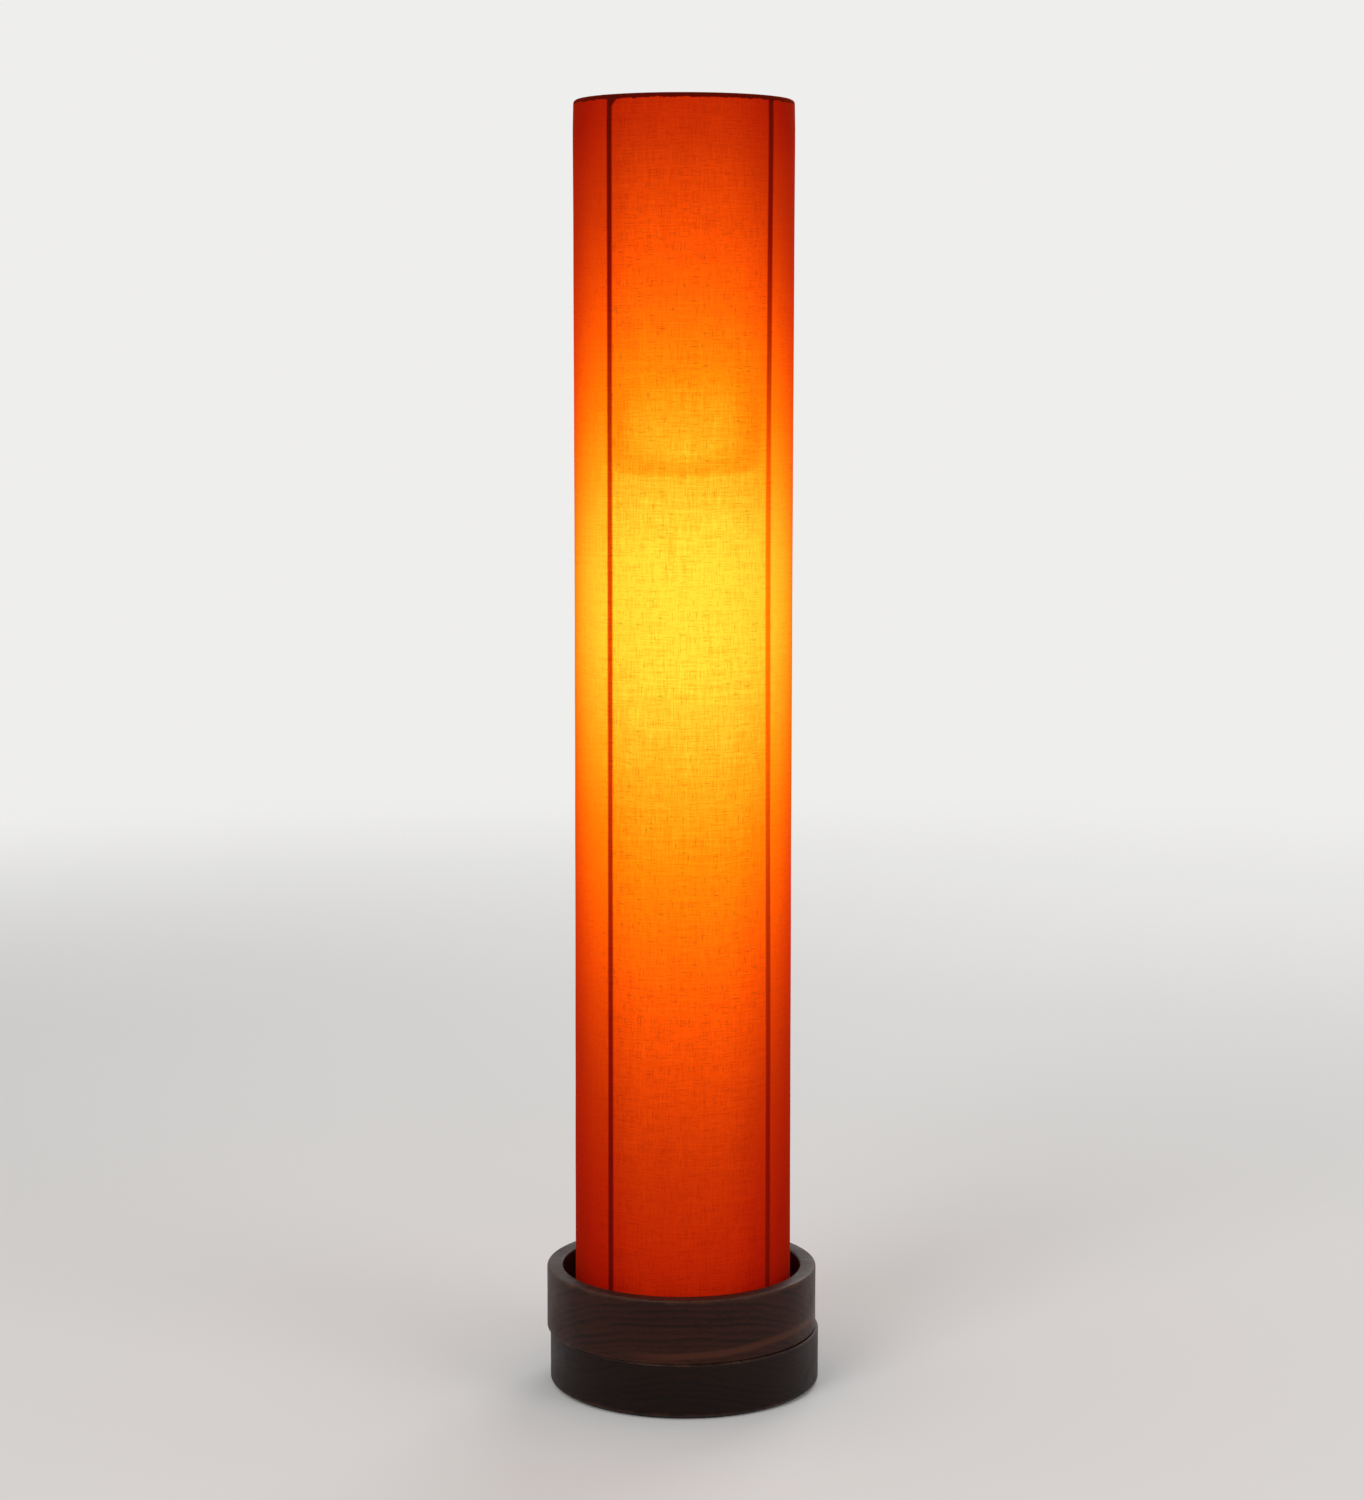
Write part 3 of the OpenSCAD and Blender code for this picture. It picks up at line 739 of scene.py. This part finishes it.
# effects that several finishes share
def makeEdgeRub():
    # where hands and cloths have rubbed a turned edge, by its circle's radius and height
    group, given, taken = newGroup(
        "edge rub",
        [("Radius", "Float", 0.1), ("Height", "Float", 0.1), ("Reach", "Float", 2 * mm)],
        [("Mask", "Float")],
    )
    x, y, z = splitPlace(group, given["Vector"])
    side = minus(group, lengthOf(group, x, y), given["Radius"])
    away = lengthOf(group, side, minus(group, z, given["Height"]))
    uneven = minus(group, cloudy(group, given["Vector"], 70, 4, 0.65), 0.5)
    away = calc(group, "DIVIDE", away, given["Reach"])
    away = plus(group, away, times(group, uneven, 2.4))
    group.links.new(fade(group, away, 1.0, 0.1), taken["Mask"])
    return group


def makeDust():
    # dust that has settled on faces that look up
    group, given, taken = newGroup("settled dust", [("Amount", "Float", 0.3)], [("Mask", "Float")])
    facing = addNode(group, "ShaderNodeNewGeometry").outputs["Normal"]
    _, _, up = splitPlace(group, facing)
    specks = cloudy(group, given["Vector"], 900, 3, 0.7)
    drift = cloudy(group, given["Vector"], 45, 3, 0.6)
    layer = times(group, fade(group, specks, 0.4, 0.7), fade(group, drift, 0.3, 0.7, 0.35, 1.0))
    layer = times(group, layer, fade(group, up, 0.55, 0.95))
    group.links.new(times(group, layer, given["Amount"]), taken["Mask"])
    return group


def makeWoodGrain():
    # growth rings about a line along x, with fibres and open pores running the same way
    group, given, taken = newGroup(
        "wood grain",
        [("Early Wood", "Color", rgb(0.05, 0.02, 0.01)), ("Late Wood", "Color", rgb(0.02, 0.01, 0.005)),
         ("Ring Width", "Float", 5 * mm), ("Pore Share", "Float", 0.5)],
        [("Color", "Color"), ("Pores", "Float"), ("Height", "Float")],
    )
    place = given["Vector"]
    sway = minus(group, cloudy(group, stretch(group, place, (5, 16, 16)), 1.0, 3.0, 0.5), 0.5)
    _, y, z = splitPlace(group, place)
    far = lengthOf(group, y, z)
    # good and poor years: broad and narrow rings, with strong and faint late wood
    growth = minus(group, cloudy(group, far, 40, 2.0, 0.6), 0.5)
    count = calc(group, "DIVIDE", far, given["Ring Width"])
    count = plus(group, count, times(group, sway, 5.0))
    count = plus(group, count, times(group, growth, 1.6))
    part = calc(group, "FRACT", count)
    late = times(group, fade(group, part, 0.15, 0.88), fade(group, part, 1.0, 0.9))
    late = times(group, late, fade(group, cloudy(group, far, 95, 1.0), 0.32, 0.66, 0.25, 1.15))
    fibre = cloudy(group, stretch(group, place, (22, 1000, 1000)), 1.0, 3.0, 0.6)
    broad = cloudy(group, stretch(group, place, (6, 45, 45), (3, 1, 2)), 1.0, 3.0, 0.6)
    share = times(group, late, 0.62)
    share = plus(group, share, times(group, minus(group, fibre, 0.5), 0.8))
    share = plus(group, share, times(group, minus(group, broad, 0.42), 1.5))
    color = mixColors(group, fade(group, share, -0.1, 1.05), given["Early Wood"], given["Late Wood"])
    pores = cloudy(group, stretch(group, place, (95, 1500, 1500), (2, 5, 1)), 1.0, 1.0)
    pores = times(group, fade(group, pores, 0.60, 0.68), given["Pore Share"])
    dark = minus(group, 1.0, times(group, pores, 0.7))
    group.links.new(mixColors(group, 1.0, color, dark, "MULTIPLY"), taken["Color"])
    group.links.new(pores, taken["Pores"])
    height = minus(group, times(group, fibre, 0.4), times(group, pores, 0.8))
    group.links.new(minus(group, height, times(group, late, 0.15)), taken["Height"])
    return group


def makeWorkedMetal():
    # fine marks along the way the metal was drawn, rolled or turned, and dull patches
    group, given, taken = newGroup(
        "worked metal",
        [("Marks", "Vector", (60, 60, 1200)),
         ("Bright", "Color", rgb(0.6, 0.6, 0.6)), ("Dull", "Color", rgb(0.3, 0.3, 0.3)),
         ("Dull Share", "Float", 0.5), ("Smooth", "Float", 0.25), ("Rough", "Float", 0.5)],
        [("Color", "Color"), ("Roughness", "Float"), ("Height", "Float")],
    )
    place = given["Vector"]
    scaled = addNode(group, "ShaderNodeVectorMath", {0: place, 1: given["Marks"]}, operation="MULTIPLY")
    marks = cloudy(group, scaled.outputs["Vector"], 1.0, 3.0, 0.6)
    patches = cloudy(group, place, 130, 4, 0.65)
    mixed = plus(group, patches, times(group, minus(group, marks, 0.5), 0.35))
    start = minus(group, 0.85, times(group, given["Dull Share"], 0.6))
    dull = fade(group, mixed, start, plus(group, start, 0.28))
    group.links.new(mixColors(group, dull, given["Bright"], given["Dull"]), taken["Color"])
    spread = minus(group, given["Rough"], given["Smooth"])
    rough = plus(group, times(group, dull, 0.7), times(group, marks, 0.3))
    group.links.new(plus(group, given["Smooth"], times(group, rough, spread)), taken["Roughness"])
    group.links.new(plus(group, times(group, marks, 0.7), patches), taken["Height"])
    return group


def makeMouldedSkin():
    # the fine eroded skin of moulded plastic, with slow flow marks in its colour
    group, given, taken = newGroup(
        "moulded skin",
        [("Body", "Color", rgb(0.8, 0.8, 0.8)), ("Flow", "Color", rgb(0.7, 0.7, 0.7)),
         ("Skin Scale", "Float", 1600.0), ("Smooth", "Float", 0.3), ("Rough", "Float", 0.5)],
        [("Color", "Color"), ("Roughness", "Float"), ("Height", "Float")],
    )
    place = given["Vector"]
    skin = cloudy(group, place, given["Skin Scale"], 2.0, 0.6)
    flow = cloudy(group, stretch(group, place, (40, 40, 90)), 1.0, 3.0, 0.55, 0.6)
    handled = cloudy(group, place, 160, 3, 0.6)
    color = mixColors(group, fade(group, flow, 0.3, 0.75), given["Body"], given["Flow"])
    group.links.new(color, taken["Color"])
    spread = minus(group, given["Rough"], given["Smooth"])
    share = plus(group, times(group, skin, 0.5), times(group, handled, 0.5))
    group.links.new(plus(group, given["Smooth"], times(group, share, spread)), taken["Roughness"])
    group.links.new(plus(group, skin, times(group, flow, 0.5)), taken["Height"])
    return group


edgeRubGroup = makeEdgeRub()
dustGroup = makeDust()
woodGrainGroup = makeWoodGrain()
workedMetalGroup = makeWorkedMetal()
mouldedSkinGroup = makeMouldedSkin()


def dress(material, *names):
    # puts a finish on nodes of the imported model
    for name in names:
        for place in nodes[name].material_slots:
            place.material = material


def withDust(tree, place, color, amount, dustColor=rgb(0.30, 0.27, 0.24)):
    mask = useGroup(tree, dustGroup, {"Vector": place, "Amount": amount})["Mask"]
    return mixColors(tree, mask, color, dustColor), mask


# turned wooden cup: a ring glued on a block, stained dark and oiled
wood = {
    "ringEarly": rgb(0.031, 0.0075, 0.0036),
    "ringLate": rgb(0.011, 0.0029, 0.0016),
    "ringLedgeHighlight": rgb(0.066, 0.0190, 0.0090),
    "ringHeart": (0.02, 0.115, 0.052),
    "blockEarly": rgb(0.0110, 0.0034, 0.0020),
    "blockLate": rgb(0.0046, 0.0016, 0.0011),
    "blockHeart": (-0.3, 0.060, -0.055),
    "rubbed": rgb(0.085, 0.0320, 0.0180),
    "ringWidth": 5.0 * mm,
    # the ring's painted highlight, a pale band where the ledge over the glue line catches light: height over
    # the glue line, rise to the right, waviness and half width
    "streakUp": 4.5 * mm,
    "streakRise": 7 * mm,
    "streakWave": 9 * mm,
    "streakHalf": 4.5 * mm,
    "toolPitch": 1.7 * mm,
    "rubbedShare": 0.45,
    "smooth": 0.36,
    "rough": 0.50,
    "gloss": 0.13,
    "dust": 0.08,
}


def roundSize(name):
    # middle in x, radius, foot and top of a round node
    low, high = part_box(name)
    return (low.x + high.x) / 2, (high.x - low.x) / 2, low.z, high.z


def woodMaterial(name, node, early, late, heart, rubs, pale=None):
    made, tree, shader = newMaterial(name)
    middle, _, lowZ, _ = roundSize(node)
    centred = stretch(tree, objectPlace(tree), (1, 1, 1), (-middle, 0, 0))
    x, y, z = splitPlace(tree, centred)
    grain = useGroup(
        tree, woodGrainGroup,
        {"Vector": stretch(tree, centred, (1, 1, 1), heart), "Early Wood": early, "Late Wood": late,
         "Ring Width": wood["ringWidth"], "Pore Share": 0.8},
    )
    color = grain["Color"]
    if pale:
        # painted highlight along the ledge, which fades out to the left and at the back
        wave = cloudy(tree, stretch(tree, centred, (14, 14, 60)), 1.0, 3.0, 0.6)
        rise = times(tree, fade(tree, x, -0.02, 0.09), wood["streakRise"])
        level = minus(tree, minus(tree, z, lowZ + wood["streakUp"]), rise)
        level = plus(tree, level, times(tree, minus(tree, wave, 0.5), wood["streakWave"]))
        ledgeHighlight = fade(tree, calc(tree, "ABSOLUTE", level), wood["streakHalf"], 1.0 * mm)
        ledgeHighlight = times(tree, ledgeHighlight, fade(tree, x, -0.055, 0.0, 0.1, 0.75))
        ledgeHighlight = times(tree, ledgeHighlight, fade(tree, y, 0.05, -0.02))
        color = mixColors(tree, ledgeHighlight, color, pale)
    worn = None
    for radius, height, reach in rubs:
        mask = useGroup(
            tree, edgeRubGroup, {"Vector": centred, "Radius": radius, "Height": height, "Reach": reach},
        )["Mask"]
        worn = mask if worn is None else calc(tree, "MAXIMUM", worn, mask)
    color = mixColors(tree, times(tree, worn, wood["rubbedShare"]), color, wood["rubbed"])
    color, dusty = withDust(tree, centred, color, wood["dust"])
    polish = cloudy(tree, centred, 25, 4, 0.6)
    rough = fade(tree, polish, 0.3, 0.7, wood["smooth"], wood["rough"])
    rough = plus(tree, rough, times(tree, grain["Pores"], 0.25))
    rough = plus(tree, rough, times(tree, dusty, 0.3))
    toolMarks = calc(tree, "SINE", times(tree, z, 2 * pi / wood["toolPitch"]))
    height = plus(tree, grain["Height"], times(tree, toolMarks, 0.05))
    setShader(
        tree, shader, Base_Color=color, Roughness=rough, Normal=bumpFrom(tree, height, 0.45, 0.35 * mm),
        Specular_IOR_Level=wood["gloss"],
    )
    return made


turnedRing = {
    "wall": 11.6 * mm,
    "rounding": 1.6 * mm,
    "around": 180,
    "rows": 9,
    "outOfRound": 0.12 * mm,
}


def makeRing():
    middle, outer, lowZ, highZ = roundSize("rim_ring")
    inner = outer - turnedRing["wall"]
    corners = [(inner, lowZ), (outer, lowZ), (outer, highZ), (inner, highZ)]
    bm = spinProfile([(middle + out, 0, height) for out, height in corners], turnedRing["around"], middle)

    def isRim(edge):
        a, b = edge.verts
        level = abs(a.co.z - b.co.z) < 1e-6
        radii = [((v.co.x - middle) ** 2 + v.co.y ** 2) ** 0.5 for v in (a, b)]
        around = abs(radii[0] - radii[1]) < 1e-6
        return level and around and not (radii[0] < inner + mm and a.co.z < lowZ + mm)

    bmesh.ops.bevel(
        bm, geom=[edge for edge in bm.edges if isRim(edge)], offset=turnedRing["rounding"],
        offset_type="OFFSET", segments=5, profile=0.5, affect="EDGES", material=-1,
    )
    upright = [edge for edge in bm.edges if abs(edge.verts[0].co.z - edge.verts[1].co.z) > 20 * mm]
    bmesh.ops.subdivide_edges(bm, edges=upright, cuts=turnedRing["rows"], use_grid_fill=False)
    for vert in bm.verts:
        side = Vector((vert.co.x - middle, vert.co.y, 0))
        if side.length > outer - 4 * mm:
            push = turnedRing["outOfRound"] * (noise.noise(Vector(vert.co) * 22) - 0.3)
            vert.co += side.normalized() * min(0, push)
    return finishMesh(bm, "turned_ring")


woodRing = makeRing()
_, ringOuter, ringLow, ringHigh = roundSize("rim_ring")
ringInner = ringOuter - turnedRing["wall"]
woodRing.data.materials.append(woodMaterial(
    "stained ring wood", "rim_ring", wood["ringEarly"], wood["ringLate"], wood["ringHeart"],
    ((ringOuter, ringHigh, 3.2 * mm), (ringInner, ringHigh, 2.2 * mm), (ringOuter, ringLow, 2.0 * mm)),
    wood["ringLedgeHighlight"],
))
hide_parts("rim_ring")
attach(woodRing, "lamp")
_, blockOuter, blockLow, blockHigh = roundSize("plinth")
dress(woodMaterial(
    "stained block wood", "plinth", wood["blockEarly"], wood["blockLate"], wood["blockHeart"],
    ((blockOuter, blockLow, 3.0 * mm), (blockOuter, blockHigh, 1.6 * mm)),
), "plinth")
print("wooden cup turned")


# smooth lead from the holder to the base, on the same route as its solid
lead = {
    "radius": 2.5 * mm,
    "turn": 135.4,
    # out from the middle and up from the top of the holder cap, then up from the floor of the cup
    "upper": (
        (0, -12), (0, 6), (0, 18), (2.5, 30), (10, 40.5), (21, 46.5), (34, 48),
        (47, 45), (58, 37.5), (66.5, 27), (71.5, 14), (73, 0), (73, -26),
    ),
    "lower": ((73, 300), (73, 66), (72.2, 54), (69, 42), (64, 31), (58.5, 20.5), (55.5, 14.5)),
    "color": rgb(0.78, 0.76, 0.71),
    "aged": rgb(0.66, 0.61, 0.50),
}


def makeLead():
    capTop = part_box("holder_cap")[1].z
    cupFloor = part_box("plinth")[1].z
    turn = radians(lead["turn"])
    route = [(out * mm, capTop + up * mm) for out, up in lead["upper"]]
    route += [(out * mm, cupFloor + up * mm) for out, up in lead["lower"]]
    curve = bpy.data.curves.new("lead route", "CURVE")
    curve.dimensions = "3D"
    curve.bevel_depth = lead["radius"]
    curve.bevel_resolution = 4
    curve.resolution_u = 6
    curve.use_fill_caps = True
    line = curve.splines.new("BEZIER")
    line.bezier_points.add(len(route) - 1)
    for point, (out, height) in zip(line.bezier_points, route):
        point.co = (out * sin(turn), -out * cos(turn), height)
        point.handle_left_type = "AUTO"
        point.handle_right_type = "AUTO"
    drawn = bpy.data.objects.new("lead route", curve)
    scene.collection.objects.link(drawn)
    bpy.context.view_layer.update()
    mesh = bpy.data.meshes.new_from_object(drawn.evaluated_get(bpy.context.evaluated_depsgraph_get()))
    bpy.data.objects.remove(drawn)
    bm = bmesh.new()
    bm.from_mesh(mesh)
    bmesh.ops.remove_doubles(bm, verts=bm.verts, dist=1e-6)
    bpy.data.meshes.remove(mesh)
    return finishMesh(bm, "sheathed_lead")


# finishes of moulded, cast and pressed parts
plastics = {
    # name: body, flow marks, smooth, rough, skin scale, bump, dust
    "white sheath": (lead["color"], lead["aged"], 0.38, 0.60, 900, 0.10, 0.10),
    "off-white holder plastic": (rgb(0.74, 0.73, 0.68), rgb(0.66, 0.63, 0.55), 0.26, 0.46, 1500, 0.10, 0.45),
    "ivory block plastic": (rgb(0.72, 0.69, 0.58), rgb(0.62, 0.57, 0.43), 0.22, 0.42, 1500, 0.10, 0.25),
    "clip plastic": (rgb(0.66, 0.66, 0.63), rgb(0.58, 0.57, 0.52), 0.20, 0.40, 1300, 0.08, 0.2),
    "satin bulb housing": (rgb(0.80, 0.80, 0.79), rgb(0.74, 0.73, 0.70), 0.34, 0.55, 2200, 0.12, 0.1),
    "black rubber": (rgb(0.022, 0.021, 0.020), rgb(0.036, 0.034, 0.031), 0.60, 0.86, 1100, 0.25, 0.12),
    "porcelain": (rgb(0.82, 0.81, 0.76), rgb(0.74, 0.71, 0.63), 0.42, 0.66, 2600, 0.16, 0.05),
    "black glass": (rgb(0.012, 0.010, 0.016), rgb(0.030, 0.024, 0.036), 0.06, 0.20, 700, 0.04, 0.0),
    "white solder mask": (rgb(0.80, 0.82, 0.80), rgb(0.72, 0.75, 0.71), 0.28, 0.42, 2400, 0.08, 0.0),
}


def plasticMaterial(name):
    body, flow, smooth, rough, scale, bump, dust = plastics[name]
    made, tree, shader = newMaterial(name)
    place = objectPlace(tree)
    skin = useGroup(
        tree, mouldedSkinGroup,
        {"Vector": place, "Body": body, "Flow": flow, "Skin Scale": scale, "Smooth": smooth, "Rough": rough},
    )
    color = skin["Color"]
    if dust:
        color = withDust(tree, place, color, dust)[0]
    setShader(
        tree, shader, Base_Color=color, Roughness=skin["Roughness"],
        Normal=bumpFrom(tree, skin["Height"], bump, 0.2 * mm),
    )
    return made


leadPiece = makeLead()
leadPiece.data.materials.append(plasticMaterial("white sheath"))
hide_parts("inner_lead")
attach(leadPiece, "lamp")
for finish, parts in (
    ("off-white holder plastic",
     ("upper_clamp_ring", "lower_clamp_ring", "holder_skirt", "holder_cap", "lead_bush")),
    ("ivory block plastic", ("terminal_block",)),
    ("clip plastic", ("lead_clips",)),
    ("satin bulb housing", ("bulb_housing",)),
    ("black rubber", ("cord_gland",)),
    ("porcelain", ("holder_core",)),
    ("black glass", ("bulb_insulator",)),
    ("white solder mask", ("led_board",)),
):
    dress(plasticMaterial(finish), *parts)
print("lead, holder and plastics finished")

cores = {
    "brown": rgb(0.14, 0.050, 0.022),
    "blue": rgb(0.022, 0.085, 0.34),
    "flow": rgb(0.2, 0.2, 0.2),
}


def coreMaterial():
    # one core is brown and one blue, split by the plane that the lead lies in
    made, tree, shader = newMaterial("core sheaths")
    place = objectPlace(tree)
    x, y, _ = splitPlace(tree, place)
    turn = radians(lead["turn"])
    side = plus(tree, times(tree, x, cos(turn)), times(tree, y, sin(turn)))
    body = mixColors(tree, fade(tree, side, -0.1 * mm, 0.1 * mm), cores["brown"], cores["blue"])
    skin = useGroup(
        tree, mouldedSkinGroup,
        {"Vector": place, "Body": body, "Flow": mixColors(tree, 0.3, body, cores["flow"]),
         "Skin Scale": 1400, "Smooth": 0.3, "Rough": 0.5},
    )
    setShader(
        tree, shader, Base_Color=skin["Color"], Roughness=skin["Roughness"],
        Normal=bumpFrom(tree, skin["Height"], 0.1, 0.1 * mm),
    )
    return made


dress(coreMaterial(), "lead_cores")

felt = {
    "color": rgb(0.028, 0.027, 0.026),
    "fibres": rgb(0.085, 0.080, 0.074),
}


def feltMaterial():
    made, tree, shader = newMaterial("pressed felt")
    place = objectPlace(tree)
    hairs = cloudy(tree, place, 1300, 4, 0.75, 1.5)
    clumps = cloudy(tree, place, 210, 3, 0.6)
    share = times(tree, fade(tree, hairs, 0.42, 0.66), fade(tree, clumps, 0.25, 0.7, 0.4, 1.0))
    setShader(
        tree, shader, Base_Color=mixColors(tree, share, felt["color"], felt["fibres"]),
        Roughness=fade(tree, clumps, 0.3, 0.7, 0.86, 0.98), Sheen_Weight=0.3, Sheen_Roughness=0.6,
        Specular_IOR_Level=0.15, Normal=bumpFrom(tree, hairs, 0.8, 0.5 * mm),
    )
    return made


dress(feltMaterial(), "felt_pad")

# finishes of the wire, sheet and turned metal
metals = {
    # name: bright, dull, dull share, smooth, rough, marks, bump, metallic
    "lacquered wire": (
        rgb(0.26, 0.24, 0.23), rgb(0.15, 0.12, 0.10), 0.55, 0.34, 0.60, (900, 900, 40), 0.20, 0.75),
    "rolled sheet steel": (
        rgb(0.54, 0.53, 0.51), rgb(0.36, 0.34, 0.31), 0.5, 0.28, 0.50, (60, 1100, 1100), 0.12, 1.0),
    "zinc plate": (
        rgb(0.64, 0.64, 0.66), rgb(0.45, 0.45, 0.44), 0.5, 0.26, 0.48, (500, 500, 500), 0.14, 1.0),
    "turned brass": (
        rgb(0.80, 0.58, 0.24), rgb(0.46, 0.30, 0.12), 0.4, 0.20, 0.42, (40, 40, 1700), 0.10, 1.0),
    "nickel plate": (
        rgb(0.74, 0.71, 0.66), rgb(0.52, 0.49, 0.44), 0.4, 0.14, 0.34, (50, 50, 1500), 0.08, 1.0),
}


def metalMaterial(name):
    bright, dull, dullShare, smooth, rough, marks, bump, metallic = metals[name]
    made, tree, shader = newMaterial(name)
    place = objectPlace(tree)
    worked = useGroup(
        tree, workedMetalGroup,
        {"Vector": place, "Marks": marks, "Bright": bright, "Dull": dull, "Dull Share": dullShare,
         "Smooth": smooth, "Rough": rough},
    )
    setShader(
        tree, shader, Base_Color=worked["Color"], Roughness=worked["Roughness"], Metallic=metallic,
        Normal=bumpFrom(tree, worked["Height"], bump, 0.15 * mm),
    )
    return made


dress(metalMaterial("lacquered wire"), "top_hoop", "bottom_hoop", "carrier_arms", *uprights)
dress(metalMaterial("rolled sheet steel"), "carrier_plate")
dress(metalMaterial("zinc plate"), "hoop_clips", "clip_screws", "terminal_screws", "block_screw")
dress(metalMaterial("turned brass"), "terminal_tubes", "holder_shell", "holder_contact")
nickel = metalMaterial("nickel plate")
dress(nickel, "bulb_contact")

# bulb's cap with its rolled thread, inside the radius of the plain solid
screwCap = {
    "pitch": 3.64 * mm,
    "depth": 0.75 * mm,
    "wall": 0.35 * mm,
    "around": 72,
    "rows": 60,
    "plainEnd": 1.6 * mm,
}


def makeCap():
    _, outer, lowZ, highZ = roundSize("bulb_cap")
    rise = (highZ - lowZ) / screwCap["rows"]
    heights = [lowZ + rise * i for i in range(screwCap["rows"] + 1)]
    points = [(outer, 0, height) for height in heights]
    points += [(outer - screwCap["wall"], 0, height) for height in reversed(heights)]
    bm = spinProfile(points, screwCap["around"])
    for vert in bm.verts:
        height = vert.co.z
        groove = 0.5 - 0.5 * cos(2 * pi * height / screwCap["pitch"] - turnOf(vert.co))
        groove *= min(1, (height - lowZ) / screwCap["plainEnd"], (highZ - height) / screwCap["plainEnd"])
        scale = 1 - groove * screwCap["depth"] / outer
        vert.co.x *= scale
        vert.co.y *= scale
    return finishMesh(bm, "threaded_cap")


capPiece = makeCap()
capPiece.data.materials.append(nickel)
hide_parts("bulb_cap")
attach(capPiece, "bulb_thread")

bulb = {
    "opal": rgb(0.86, 0.84, 0.78),
    "opalAged": rgb(0.80, 0.77, 0.70),
    "light": rgb(1.0, 0.74, 0.42),
    "shade": rgb(0.80, 0.52, 0.26),
    # how far below the dome's top the shade starts and is full
    "shadeFrom": 6 * mm,
    "shadeTo": 26 * mm,
    "strength": 1.6,
}


def opalMaterial():
    # the dome glows a little less round its foot, where the board stands
    made, tree, shader = newMaterial("lit opal dome")
    place = objectPlace(tree)
    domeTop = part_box("bulb_dome")[1].z
    _, _, z = splitPlace(tree, place)
    cloud = cloudy(tree, place, 90, 3)
    towardsFoot = fade(tree, z, domeTop - bulb["shadeFrom"], domeTop - bulb["shadeTo"])
    lit = mixColors(tree, towardsFoot, bulb["shade"], bulb["light"])
    lit = mixColors(tree, times(tree, cloud, 0.12), lit, bulb["shade"])
    setShader(
        tree, shader, Base_Color=mixColors(tree, cloud, bulb["opal"], bulb["opalAged"]),
        Roughness=fade(tree, cloud, 0.3, 0.7, 0.30, 0.42), Emission_Color=lit,
        Emission_Strength=bulb["strength"], Normal=bumpFrom(tree, cloud, 0.05, 0.1 * mm),
    )
    return made


dress(opalMaterial(), "bulb_dome")
print("metal, felt and bulb finished")
